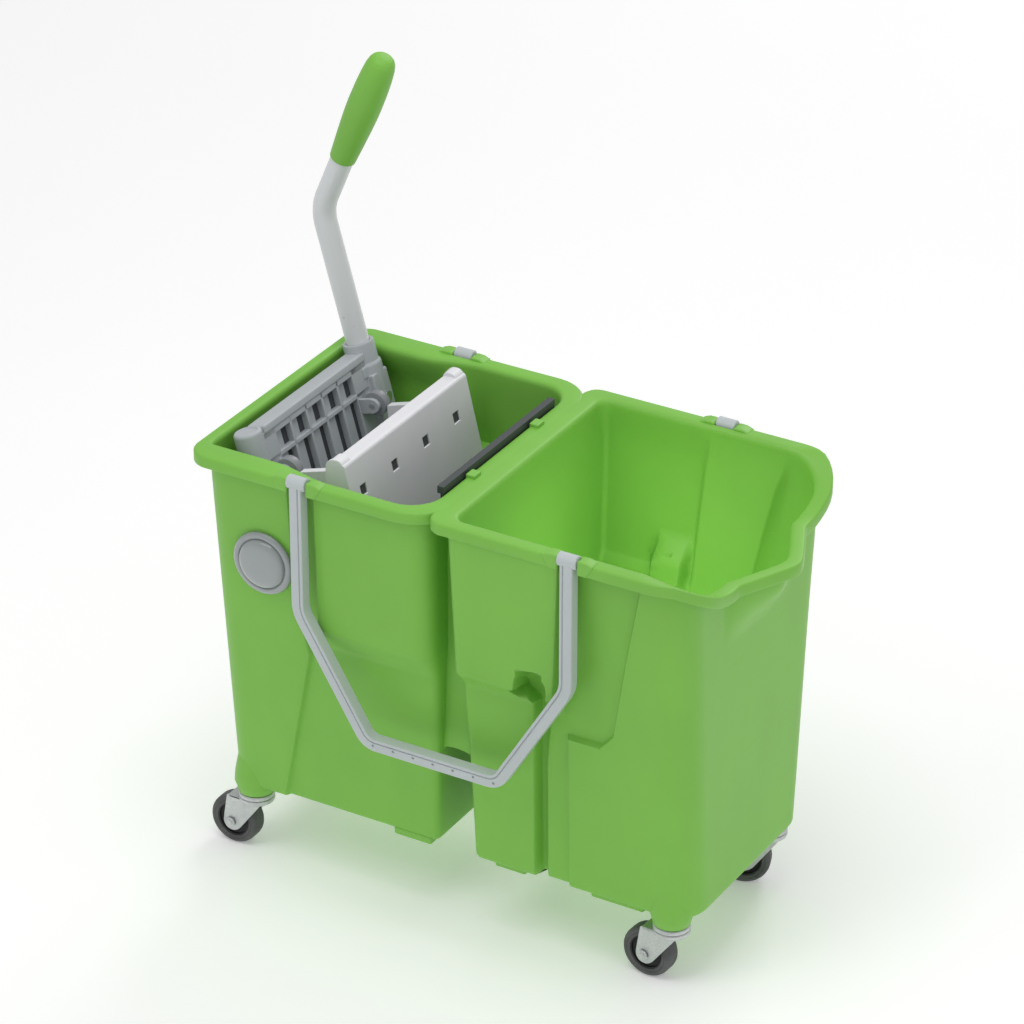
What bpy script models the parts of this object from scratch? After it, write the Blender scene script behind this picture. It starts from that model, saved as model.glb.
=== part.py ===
"""Twin-compartment mop bucket on four castors with a side-press wringer.

All dimensions below are millimetres in the bucket's own frame: X runs from the wringer
compartment towards the pouring spout, Y to the back, Z up from the floor. solid() turns
them into metres and moves X by ORIGIN_X, so that the origin sits under the middle.
"""

import math

import bmesh
import bpy
import numpy as np

# ---- driving dimensions, mm -------------------------------------------------------------
ORIGIN_X = 8.5              # middle of the assembly's length in the bucket's frame

WALL = 3.5                  # moulded wall
FLOOR_Z = 73.0              # underside of both compartments
RIM_TOP = 436.0
RIM_HALF = 147.5            # half depth over the rim
LIP_HEIGHT = 11.5
CORNER_STEPS = 5
END_STEPS = 9
SIDE_STEPS = 4

# outer walls against height: z, left x, right x, half depth, left and right corner radius
CUP_A = np.array([
    (FLOOR_Z, -242.5, -18.4, 109.0, 25, 8),
    (123, -243.0, -15.7, 113.1, 25, 8),
    (237, -243.8, -10.0, 122.4, 25, 9),
    (330, -244.5, -9.0, 130.0, 25, 20),
    (433, -245.0, -9.5, 138.2, 25, 22),
])
CUP_B = np.array([
    (FLOOR_Z, 22.0, 248.0, 109.0, 8, 30),
    (123, 22.0, 248.3, 113.1, 8, 30),
    (200, 21.5, 248.6, 119.4, 8, 31),
    (285, 19.0, 249.0, 126.3, 8, 32),
    (433, 17.2, 250.0, 138.2, 8, 34),
])
# the upper part of each compartment stands straighter than the rest and ends in a slope
UPPER_A = np.array([
    (257, -124.6, -11.5, 118.5, 3, 10),
    (283, -124.8, -8, 135.0, 3, 18),
    (433, -125, -7, 139.6, 3, 22),
])
UPPER_B = np.array([
    (262, 20, 119, 121.0, 6, 3),
    (282, 18, 121, 136.3, 8, 3),
    (433, 16, 130.5, 145.4, 8, 3),
])
# rim outlines: left x, right x, half depth, left and right corner radius
RIM_A = (-254.6, 6.0, RIM_HALF, 22, 42)
RIM_B = (-4.0, 264.0, RIM_HALF, 16, 46)
OPENING_A = (-242.6, -13.5, 131.0, 18, 30)
OPENING_B = (18.4, 248.6, 131.0, 10, 34)

# sunk fields of the long walls, as outlines in x and z
FIELD_A = [(-152, 424), (-152, 300), (-141, 246), (-184, 60), (30, 60), (30, 424)]
FIELD_B = [
    (130.5, 424), (206, 424), (189, 343), (173, 256), (160, 241), (126.5, 241),
    (125, 171), (121, 60), (95, 60), (101, 208), (108, 262), (108, 300),
]
GROOVE_B = [
    (84, 304), (110, 303), (111.5, 287), (102, 208), (96, 60), (86.5, 60),
    (92, 205), (95, 268), (80, 279),
]
FIELD_DEPTH = 5.0
GROOVE_DEPTH = 13.0

NOSE_REACH = 30.0
NOSE_HALF = 62.0
NOSE_DROP = 31.0

# bail handles
PIN_X = (-135.8, 140.2)
PIN_Y = 144.5
PIN_Z = 434.9
BARREL_R = 6.5
STUB_R = 2.5
NOTCH_HALF = 9.8
BAIL_WIDE = 12.5
BAIL_DEEP = 12.0
BAIL_BEND = (6.0, 305.0)    # inset from the pin, height
BAIL_FOOT = (70.0, 197.0)
BAIL_GRIP_Z = 190.0

# side press
PIVOT = (-181.5, 336.0)     # x, z of the lever's shaft
LEAN = math.radians(15.8)
SHAFT_R = 10.0
RUN = 0.1                   # radial clearance of a turning fit
GAP = 0.4                   # clearance between pieces that only sit together
TUBE_N = -12.7              # tube axis behind the shaft axis
TUBE_R = 11.0
TUBE_Y = 100.0
TUBE_BEND = (-262.0, 574.0)
GRIP_END = (-192.0, 740.0)
GRIP_LENGTH = 120.0
ROLLER_U = 66.0
ROLLER_N = 10.5
ROLLER_R = 12.0
ROLLER_Y = 75.0
LEVER_TRAVEL = math.radians(50)
PRESS_RATIO = 0.4           # press plate angle for one degree of the lever

PLATE_HINGE = (-75.0, 240.0)
PLATE_HALF = 105.0
PLATE_TOP = 440.0
PLATE_SLOPE = 0.243         # the face runs this far towards the spout per mm down
FACE_X = -112.0
PLATE_THICK = 3.5
ROD_R = 4.0

# castors
SWIVEL_X = (-223.1, 220.1)
SWIVEL_Y = 93.9
BOSS_Z = 62.0
TRAIL = 22.0
WHEEL_R = 25.0
WHEEL_HALF = 9.0
STEM_R = 5.5
CASTORS = {
    "fl": (0, -1, math.radians(180)),
    "bl": (0, 1, math.radians(168)),
    "fr": (1, -1, math.radians(176)),
    "br": (1, 1, math.radians(200)),
}


# ---- making solids ----------------------------------------------------------------------
def solid(name, points, faces):
    """A closed mesh object from points in millimetres, with its faces turned outwards."""
    mesh = bpy.data.meshes.new(name)
    moved = (np.asarray(points, float) - (ORIGIN_X, 0, 0)) / 1000
    mesh.from_pydata(moved.tolist(), [], [list(face) for face in faces])
    work = bmesh.new()
    work.from_mesh(mesh)
    bmesh.ops.remove_doubles(work, verts=work.verts, dist=1e-7)
    bmesh.ops.recalc_face_normals(work, faces=work.faces)
    if work.calc_volume(signed=True) < 0:
        bmesh.ops.reverse_faces(work, faces=work.faces)
    work.to_mesh(mesh)
    work.free()
    made = bpy.data.objects.new(name, mesh)
    bpy.context.scene.collection.objects.link(made)
    return made


def loft(name, rings, closed=False):
    """Rings of equal count joined by quads. Ends are capped unless the rings close."""
    rings = [np.asarray(ring, float) for ring in rings]
    count = len(rings[0])
    faces = []
    spans = len(rings) if closed else len(rings) - 1
    for i in range(spans):
        low = i * count
        high = (i + 1) % len(rings) * count
        for j in range(count):
            k = (j + 1) % count
            faces.append((low + j, low + k, high + k, high + j))
    if not closed:
        faces.append(range(count))
        faces.append(range((len(rings) - 1) * count, len(rings) * count))
    return solid(name, np.vstack(rings), faces)


def circle(radius, count=24, turn=0.5):
    angle = (np.arange(count) + turn) * 2 * math.pi / count
    return np.column_stack([radius * np.cos(angle), radius * np.sin(angle)])


def placed(flat, along, axis, centre):
    """Points of a 2-D outline set across an axis, 'along' from the centre."""
    centre = np.asarray(centre, float)
    full = {
        "X": lambda a, b: (along + 0 * a, a, b),
        "Y": lambda a, b: (b, along + 0 * a, a),
        "Z": lambda a, b: (a, b, along + 0 * a),
    }[axis]
    return np.column_stack(full(flat[:, 0], flat[:, 1])) + centre


def turned(name, profile, axis, centre, count=24, bored=False):
    """A turned piece: profile of (radius, along). A bored one closes on itself."""
    rings = [placed(circle(r, count), h, axis, centre) for r, h in profile]
    return loft(name, rings, closed=bored)


def rod(name, radius, low, high, axis, centre, count=24):
    return turned(name, [(radius, low), (radius, high)], axis, centre, count)


def prism(name, outline, low, high, axis="Y"):
    """A straight prism. The outline holds (x, z) across Y, (y, z) across X, (x, y) across Z."""
    outline = np.asarray(outline, float)
    ends = []
    for along in (low, high):
        a, b = outline[:, 0], outline[:, 1]
        c = np.full(len(a), float(along))
        ends.append(np.column_stack({"X": (c, a, b), "Y": (a, c, b), "Z": (a, b, c)}[axis]))
    return loft(name, ends)


def block(name, low, high):
    (x0, y0, z0), (x1, y1, z1) = low, high
    return prism(name, [(x0, y0), (x1, y0), (x1, y1), (x0, y1)], z0, z1, "Z")


def bake(target):
    graph = bpy.context.evaluated_depsgraph_get()
    mesh = bpy.data.meshes.new_from_object(target.evaluated_get(graph))
    target.modifiers.clear()
    target.data = mesh


def combine(target, tools, operation):
    """Joins, cuts or keeps with each tool in turn, and takes the tools out of the scene."""
    for tool in tools:
        modifier = target.modifiers.new("combine", "BOOLEAN")
        modifier.operation = operation
        modifier.solver = "EXACT"
        modifier.object = tool
        bake(target)
        bpy.data.objects.remove(tool)
    return target


def join(target, *tools):
    return combine(target, tools, "UNION")


def cut(target, *tools):
    return combine(target, tools, "DIFFERENCE")


def sweep(name, path, section, y=0.0):
    """A closed section of (across, along Y) carried along a path in the XZ plane, mitred."""
    path = np.asarray(path, float)
    section = np.asarray(section, float)
    step = np.diff(path, axis=0)
    step /= np.linalg.norm(step, axis=1)[:, None]
    before = np.vstack([step[:1], step])
    after = np.vstack([step, step[-1:]])
    mean = before + after
    mean /= np.linalg.norm(mean, axis=1)[:, None]
    stretch = 1 / (before * mean).sum(axis=1)
    normal = np.column_stack([-mean[:, 1], mean[:, 0]]) * stretch[:, None]
    rings = []
    for point, side in zip(path, normal):
        flat = point + section[:, :1] * side
        rings.append(np.column_stack([flat[:, 0], section[:, 1] + y, flat[:, 1]]))
    return loft(name, rings)


def arc_between(start, corner, end, radius, steps=6):
    """The corner of a path replaced by an arc that touches both of its legs."""
    start, corner, end = (np.asarray(p, float) for p in (start, corner, end))
    a = (start - corner) / np.linalg.norm(start - corner)
    b = (end - corner) / np.linalg.norm(end - corner)
    half = math.acos(np.clip(a @ b, -1, 1)) / 2
    middle = (a + b) / np.linalg.norm(a + b)
    centre = corner + middle * radius / math.sin(half)
    first = corner + a * radius / math.tan(half) - centre
    last = corner + b * radius / math.tan(half) - centre
    angles = np.linspace(math.atan2(first[1], first[0]), math.atan2(last[1], last[0]), steps)
    if abs(angles[-1] - angles[0]) > math.pi:
        last_angle = angles[-1] - math.copysign(2 * math.pi, angles[-1] - angles[0])
        angles = np.linspace(angles[0], last_angle, steps)
    return [tuple(centre + radius * np.array([math.cos(t), math.sin(t)])) for t in angles]


def smooth(t):
    t = np.clip(t, 0, 1)
    return t * t * (3 - 2 * t)


def grown(outline, by):
    """The outline of a convex or concave field moved outwards by a distance, mitred."""
    points = np.asarray(outline, float)
    before = points - np.roll(points, 1, axis=0)
    after = np.roll(points, -1, axis=0) - points
    before /= np.linalg.norm(before, axis=1)[:, None]
    after /= np.linalg.norm(after, axis=1)[:, None]
    turn = np.sum(np.roll(points, -1, axis=0)[:, 1] * points[:, 0]
                  - np.roll(points, -1, axis=0)[:, 0] * points[:, 1])
    side = before + after
    side = np.column_stack([side[:, 1], -side[:, 0]])
    side /= np.linalg.norm(side, axis=1)[:, None]
    own = np.column_stack([before[:, 1], -before[:, 0]])
    scale = 1 / np.maximum((side * own).sum(axis=1), 0.6)
    return points + math.copysign(by, turn) * side * scale[:, None]


# ---- bucket -----------------------------------------------------------------------------
def ring(z, left, right, half, left_r, right_r):
    """A rounded rectangle seen from above, with extra points along its sides."""
    corners = (
        (right - right_r, -half + right_r, right_r, -90, END_STEPS),
        (right - right_r, half - right_r, right_r, 0, SIDE_STEPS),
        (left + left_r, half - left_r, left_r, 90, 2),
        (left + left_r, -half + left_r, left_r, 180, SIDE_STEPS),
    )
    arcs = []
    for x, y, radius, start, _ in corners:
        angle = np.radians(np.linspace(start, start + 90, CORNER_STEPS + 1))
        arcs.append(np.column_stack([x + radius * np.cos(angle), y + radius * np.sin(angle)]))
    points = []
    for i, corner in enumerate(corners):
        points.append(arcs[i])
        end, start = arcs[i][-1], arcs[(i + 1) % 4][0]
        share = np.linspace(0, 1, corner[4] + 1)[1:-1, None]
        points.append(end + (start - end) * share)
    flat = np.vstack(points)
    return np.column_stack([flat, np.full(len(flat), float(z))])


def cup(name, table, inset, low, high, levels):
    """A tapered cup. inset shrinks it evenly, which makes the cavity inside a wall."""
    rings = []
    for z in [low, *[level for level in levels if low + 6 < level < high - 2], high]:
        left, right, half, left_r, right_r = (
            np.interp(z, table[:, 0], table[:, i]) for i in range(1, 6)
        )
        radii = max(left_r - inset, 2.5), max(right_r - inset, 2.5)
        rings.append(ring(z, left + inset, right - inset, half - inset, *radii))
    foot = rings[0].copy()
    middle = foot.mean(axis=0)
    rings[0][:, :2] = middle[:2] + (foot - middle)[:, :2] * 0.97
    rings.insert(1, foot + (0, 0, 5))
    return loft(name, rings)


def rim(name, outline, opening, widen=False):
    """The flange with its lip turned down, as a ring-shaped loft."""
    left, right, half, left_r, right_r = outline
    steps = (
        (0, RIM_TOP - 1.5), (1.5, RIM_TOP), (None, RIM_TOP), (None, RIM_TOP - 4.5),
        (3, RIM_TOP - 4.5), (3, RIM_TOP - LIP_HEIGHT), (0, RIM_TOP - LIP_HEIGHT),
    )
    rings = []
    for inset, z in steps:
        if inset is None:
            made = ring(z, *opening)
            if widen:
                # the flange is wider over the wringer's pivots
                share = smooth((made[:, 0] + 172) / 60)
                made[:, 1] = np.clip(made[:, 1], -120 - 11 * share, 120 + 11 * share)
        else:
            made = ring(z, left + inset, right - inset, half - inset, left_r - inset,
                        right_r - inset)
        rings.append(made)
    return loft(name, rings, closed=True)


def field(name, outline, near, floor_top, floor_low, side):
    """A cutter for a sunk field: it reaches in to a floor that slopes with the wall."""
    rings = []
    outline = np.asarray(outline, float)
    floor = np.interp(outline[:, 1], (FLOOR_Z, 433), (floor_low, floor_top))
    for depth in (np.full(len(outline), near), floor):
        rings.append(np.column_stack([outline[:, 0], side * depth, outline[:, 1]]))
    return loft(name, rings)


def wall_fields(outer, inner, outline, depth):
    """Cuts a field into the outer form, and its wall-thick counterpart out of the cavity."""
    for side in (-1, 1):
        top, low = 138.2 - depth, 109.0 - depth
        cut(outer, field("cutter", outline, 165, top, low, side))
        wider = grown(outline, WALL)
        cut(inner, field("cutter", wider, 165, top - WALL, low - WALL, side))


def compartments():
    levels = (123, 160, 200, 237, 285, 330, 360, 385, 408)
    outer_a = cup("bucket_body", CUP_A, 0, FLOOR_Z, 433, levels[:6])
    inner_a = cup("inner_a", CUP_A, WALL, FLOOR_Z + 4, 450, levels[:6])
    wall_fields(outer_a, inner_a, FIELD_A, FIELD_DEPTH)
    join(outer_a, cup_upper("upper", UPPER_A, 0, 433.7))
    join(inner_a, cup_upper("upper", UPPER_A, WALL, 449))

    outer_b = cup("outer_b", CUP_B, 0, FLOOR_Z, 433.3, levels)
    inner_b = cup("inner_b", CUP_B, WALL, FLOOR_Z + 4, 450, levels)
    wall_fields(outer_b, inner_b, FIELD_B, FIELD_DEPTH)
    join(outer_b, cup_upper("upper", UPPER_B, 0, 433.7))
    join(inner_b, cup_upper("upper", UPPER_B, WALL, 449))
    wall_fields(outer_b, inner_b, GROOVE_B, GROOVE_DEPTH)
    return join(outer_a, outer_b), inner_a, inner_b


def cup_upper(name, table, inset, high):
    rings = []
    for i, (z, left, right, half, left_r, right_r) in enumerate(table):
        z = min(high, z + (inset if i < 2 else 99)) if i < len(table) - 1 else high
        radii = max(left_r - inset, 1.0), max(right_r - inset, 1.0)
        rings.append(ring(z, left + inset, right - inset, half - inset, *radii))
    return loft(name, rings)


def webs():
    """Two plates that tie the compartments together under the rim, with arched lower edges."""
    outline = [(-30, 434), (-30, 168)]
    outline += [(x, 168 + 11 * math.cos(x / 36 * math.pi / 2)) for x in range(-24, 31, 9)]
    outline += [(33, 168), (33, 434)]
    return [prism("web", outline, side * 98, side * 101.5) for side in (-1, 1)]


def pin_blocks():
    made = []
    outline = [(9.4, 423.7), (22, 423.7), (28, 435.2), (21, 439.5), (9.4, 439.5)]
    for x in PIN_X:
        for side in (-1, 1):
            for turn in (-1, 1):
                shape = [(x + turn * a, b) for a, b in outline]
                made.append(prism("block", shape, side * 134.2, side * 150))
    return made


def spout(points):
    """Draws the far end of the rim out into a nose and lets it down."""
    x, y, z = points.T
    near = smooth((x - 205) / 42)
    reach = np.clip(NOSE_REACH * (1 - np.sqrt(y * y + 64) / NOSE_HALF), 0, None)
    drop = NOSE_DROP * np.sin(math.pi / 2 * np.clip((142 - np.abs(y)) / 75, 0, 1))
    made = points.copy()
    made[:, 0] += reach * near * smooth((z - 345) / 70)
    made[:, 2] -= drop * near * smooth((z - 290) / 135)
    return made


def bucket():
    body, inner_a, inner_b = compartments()
    join(body, *webs())
    for x in SWIVEL_X:
        for side in (-1, 1):
            boss = [(18, BOSS_Z + 1), (18.5, BOSS_Z), (20.5, FLOOR_Z - 1), (20.5, FLOOR_Z + 5)]
            boss[0:1] = [(17, BOSS_Z)]
            join(body, turned("boss", boss, "Z", (x, side * SWIVEL_Y, 0)))
    for low, high in ((42, 74), (142, 196), (-66, -26)):
        for side in (-1, 1):
            near, far = sorted((side * 84, side * 104))
            join(body, block("pad", (low, near, 68), (high, far, 76)))
    cut(body, inner_a, inner_b)
    join(body, rim("rim", RIM_A, OPENING_A, widen=True), rim("rim", RIM_B, OPENING_B))
    join(body, *pin_blocks())
    inside = []
    for x in SWIVEL_X:
        for side in (-1, 1):
            inside.append(turned("post", [(13, 75), (11, 104)], "Z", (x, side * SWIVEL_Y, 0)))
    for side in (-1, 1):
        # pivot boss, hinge boss and the ledge of each long wall of the wringer compartment
        pivot = [(32, -132.8), (32, -127.5), (22, -126), (22, -112.5)]
        inside.append(turned("boss", mirrored(pivot, side), "Y", (PIVOT[0], 0, PIVOT[1])))
        hinge = mirrored([(11, -118), (9, -108.6)], side)
        inside.append(turned("boss", hinge, "Y", (PLATE_HINGE[0], 0, PLATE_HINGE[1])))
        near, far = sorted((side * 118, side * 134))
        inside.append(block("ledge", (-122, near, 341), (-30, far, 357)))
    for y in (-62, 50):
        inside.append(block("tab", (-12.5, y, 434), (-3, y + 12, 439.5)))
    join(body, *inside)
    holes = []
    for x in SWIVEL_X:
        for side in (-1, 1):
            centre = (x, side * SWIVEL_Y, 0)
            holes.append(rod("hole", STEM_R + RUN, 50, 99, "Z", centre))
    for x in PIN_X:
        for side in (-1, 1):
            near, far = sorted((side * 136.5, side * 160))
            holes.append(block("notch", (x - NOTCH_HALF, near, 420), (x + NOTCH_HALF, far, 445)))
            centre = (x, side * PIN_Y, PIN_Z)
            holes.append(rod("hole", STUB_R + RUN, -17.2, 17.2, "X", centre))
    for side in (-1, 1):
        low, high = sorted((side * 105, side * 140))
        holes.append(rod("hole", 14.0, low, high, "Y", (PIVOT[0], 0, PIVOT[1])))
        low, high = sorted((side * 100, side * 115))
        holes.append(rod("hole", ROD_R + RUN, low, high, "Y", (PLATE_HINGE[0], 0, PLATE_HINGE[1])))
    cut(body, *holes)
    shape_spout(body)
    return body


def mirrored(profile, side):
    return [(r, -side * h) for r, h in profile]


def shape_spout(body):
    work = bmesh.new()
    work.from_mesh(body.data)
    bmesh.ops.remove_doubles(work, verts=work.verts, dist=2e-6)
    bmesh.ops.triangulate(work, faces=work.faces)
    points = np.array([vert.co for vert in work.verts]) * 1000 + (ORIGIN_X, 0, 0)
    moved = (spout(points) - (ORIGIN_X, 0, 0)) / 1000
    for vert, place in zip(work.verts, moved):
        vert.co = place
    work.to_mesh(body.data)
    work.free()


# ---- bail handles -----------------------------------------------------------------------
def bail(name, side):
    """A bail of one moulding: two barrels with stubs, two arms and the grip bar."""
    left, right = PIN_X
    inset, bend_z = BAIL_BEND
    foot, foot_z = BAIL_FOOT
    path = [(left, PIN_Z), (left, bend_z + 14)]
    path += arc_between((left, PIN_Z), (left + inset - 6, bend_z), (left + foot, foot_z), 30, 4)
    path += arc_between((left, bend_z), (left + foot, BAIL_GRIP_Z), (0, BAIL_GRIP_Z), 16, 4)
    middle = (left + right) / 2
    path += [(2 * middle - x, z) for x, z in reversed(path)]
    wide, deep = BAIL_WIDE / 2, BAIL_DEEP / 2
    section = [
        (-wide + 1.5, -deep), (wide - 1.5, -deep), (wide, -deep + 1.5), (wide, deep - 1.5),
        (wide - 1.5, deep), (-wide + 1.5, deep), (-wide, deep - 1.5), (-wide, -deep + 1.5),
    ]
    made = sweep(name, path, section, side * PIN_Y)
    for x in PIN_X:
        profile = [(STUB_R, -16.4), (STUB_R, -9.4), (BARREL_R, -9.4), (BARREL_R, 9.4),
                   (STUB_R, 9.4), (STUB_R, 16.4)]
        join(made, turned("barrel", profile, "X", (x, side * PIN_Y, PIN_Z), 16))
    return made


# ---- side press -------------------------------------------------------------------------
def leaning(n, u):
    """A place in the lever's own frame: n in front of the shaft, u up along the lever."""
    x = PIVOT[0] + n * math.cos(LEAN) - u * math.sin(LEAN)
    z = PIVOT[1] + n * math.sin(LEAN) + u * math.cos(LEAN)
    return x, z


def slab(name, n0, n1, y0, y1, u0, u1):
    outline = [leaning(n, u) for n, u in ((n0, u0), (n1, u0), (n1, u1), (n0, u1))]
    return prism(name, outline, y0, y1)


def upright(name, profile, n, y, count=24, bored=False):
    """A turned piece whose axis runs up the lever: profile of (radius, u)."""
    rings = []
    for radius, u in profile:
        flat = circle(radius, count)
        x, z = leaning(n + flat[:, 0], u)
        rings.append(np.column_stack([x, flat[:, 1] + y, z]))
    return loft(name, rings, closed=bored)


def lever_shaft():
    profile = [(SHAFT_R, -131.6), (SHAFT_R, 131.6), (SHAFT_R - 2, 131.6), (SHAFT_R - 2, -131.6)]
    turned("pivot_shaft", profile, "Y", (PIVOT[0], 0, PIVOT[1]), bored=True)


def pivot_fittings(side, word):
    centre = (PIVOT[0], 0, PIVOT[1])
    bush = [(SHAFT_R + RUN, -132.4), (13.6, -132.4), (13.6, -112.1), (19, -112.1),
            (19, -108.8), (SHAFT_R + RUN, -108.8)]
    turned("pivot_bush_" + word, mirrored(bush, side), "Y", centre, bored=True)
    cap = [(31, -133.2), (31, -136.4), (29.5, -137.6), (25, -137.6), (24, -136.8),
           (22.5, -139.4), (15, -141.4), (3, -142.1)]
    turned("pivot_cap_" + word, mirrored(cap, side), "Y", centre, count=28)


def lever_carrier():
    """The ribbed frame on the shaft: pockets in front, roller ears, and the lever's socket."""
    body = slab("lever_carrier", -21, -3, -92, 90, 10, 104)
    join(body, slab("top", -23, -1, -93, 91, 100, 112))
    join(body, upright("nose", [(10, 12), (10, 109), (8, 111)], -12, -92))
    join(body, rod("hub", 16, -104, 104, "Y", (PIVOT[0], 0, PIVOT[1])))
    join(body, upright("socket", [(17, 26), (17, 96), (15, 98), (15, 118)], TUBE_N, TUBE_Y))
    join(body, slab("key", -29, 4, 87, 112, 34, 88))
    pockets = []
    for i in range(5):
        low = -63 + 26.5 * i
        pockets.append(slab("pocket", -17, 5, low, low + 21.5, 79, 97))
        pockets.append(slab("pocket", -17, 5, low, low + 21.5, 24, 74))
    cut(body, *pockets)
    x, z = leaning(ROLLER_N, ROLLER_U)
    for y in (-ROLLER_Y, ROLLER_Y):
        for turn in (-1, 1):
            low, high = sorted((y + turn * 5.4, y + turn * 9.6))
            shape = ((-19, -7), (10, -7.4), (16, -5), (18, 0), (16, 5), (10, 7.4), (-19, 7))
            outline = [leaning(n, ROLLER_U + u) for n, u in shape]
            join(body, prism("ear", outline, low, high))
        cut(body, rod("hole", 3 + RUN, y - 20, y + 20, "Y", (x, 0, z), 16))
    cut(body, rod("hole", SHAFT_R + RUN, -110, 110, "Y", (PIVOT[0], 0, PIVOT[1])))
    bore = [(TUBE_R + RUN, 36.6), (TUBE_R + RUN, 130)]
    cut(body, upright("hole", bore, TUBE_N, TUBE_Y))
    cut(body, lever_bolt_shape("hole", RUN, 40))
    return body


def lever_bolt_shape(name, more, reach):
    rings = []
    steps = [(4.8, -reach), (4.8, -16.9), (2.5, -16.9), (2.5, 16.9), (4.8, 16.9), (4.8, reach)]
    if name == "hole":
        steps = [(2.5, -reach), (2.5, reach)]
    for radius, n in steps:
        flat = circle(radius + more, 16)
        x, z = leaning(TUBE_N + n, 62 + flat[:, 0])
        rings.append(np.column_stack([x, flat[:, 1] + TUBE_Y, z]))
    return loft(name, rings)


def tube_path():
    start = leaning(TUBE_N, 38)
    top = np.array(GRIP_END) - 8 * unit(np.array(GRIP_END) - TUBE_BEND)
    bend = arc_between(start, TUBE_BEND, top, 45, 7)
    return [start, *bend, tuple(top)]


def unit(vector):
    return vector / np.linalg.norm(vector)


def lever_tube():
    outer = sweep("lever_tube", tube_path(), circle(TUBE_R), TUBE_Y)
    path = tube_path()
    path[0] = tuple(np.array(path[0]) - 5 * unit(np.array(path[1]) - path[0]))
    path[-1] = tuple(np.array(path[-1]) + 5 * unit(np.array(path[-1]) - path[-2]))
    cut(outer, sweep("hole", path, circle(TUBE_R - 1.8, 16), TUBE_Y))
    cut(outer, lever_bolt_shape("hole", RUN, 40))
    return outer


def lever_grip():
    end, length = np.array(GRIP_END), GRIP_LENGTH
    along = unit(end - TUBE_BEND)
    across = np.array([along[1], -along[0]])
    start = end - along * length
    profile = [(TUBE_R + RUN, length - 7.6), (TUBE_R + RUN, 0), (12.2, 0), (12.8, 5), (14.6, 30),
               (15.9, 62), (15.6, 86), (14.4, 103), (12.2, length - 8), (8.4, length - 2),
               (2.5, length)]
    rings = []
    for radius, h in profile:
        flat = circle(radius, 24)
        place = start + along * h + flat[:, :1] * across
        rings.append(np.column_stack([place[:, 0], flat[:, 1] + TUBE_Y, place[:, 1]]))
    return loft("lever_grip", rings)


def roller_set(side, word):
    x, z = leaning(ROLLER_N, ROLLER_U)
    y = side * ROLLER_Y
    wheel = [(3 + RUN, -5), (ROLLER_R - 1, -5), (ROLLER_R, -4), (ROLLER_R, 4),
             (ROLLER_R - 1, 5), (3 + RUN, 5)]
    turned("roller_" + word, wheel, "Y", (x, y, z), count=24, bored=True)
    pin = [(3, -9.8), (3, 9.8), (4.6, 9.8), (4.6, 11.6), (2, 12.2)]
    turned("roller_pin_" + word, pin, "Y", (x, y, z), count=16)


def turned_about(point, centre, angle):
    """Right-handed turn about +Y, which carries +Z towards +X."""
    x, z = point[0] - centre[0], point[1] - centre[1]
    return (centre[0] + x * math.cos(angle) + z * math.sin(angle),
            centre[1] - x * math.sin(angle) + z * math.cos(angle))


def cam_edge():
    """The roller's path seen from the press plate, moved out by its radius and a gap."""
    start = leaning(ROLLER_N, ROLLER_U)
    path = []
    for share in np.linspace(-0.04, 1.02, 9):
        lever = LEVER_TRAVEL * share
        there = turned_about(start, PIVOT, lever)
        path.append(turned_about(there, PLATE_HINGE, -lever * PRESS_RATIO))
    path = np.array(path)
    step = np.gradient(path, axis=0)
    step /= np.linalg.norm(step, axis=1)[:, None]
    normal = np.column_stack([-step[:, 1], step[:, 0]])
    normal *= np.sign(normal[:, :1])
    return path + normal * (ROLLER_R + 0.8)


def face_x(z):
    return FACE_X + (PLATE_TOP - z) * PLATE_SLOPE


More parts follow.
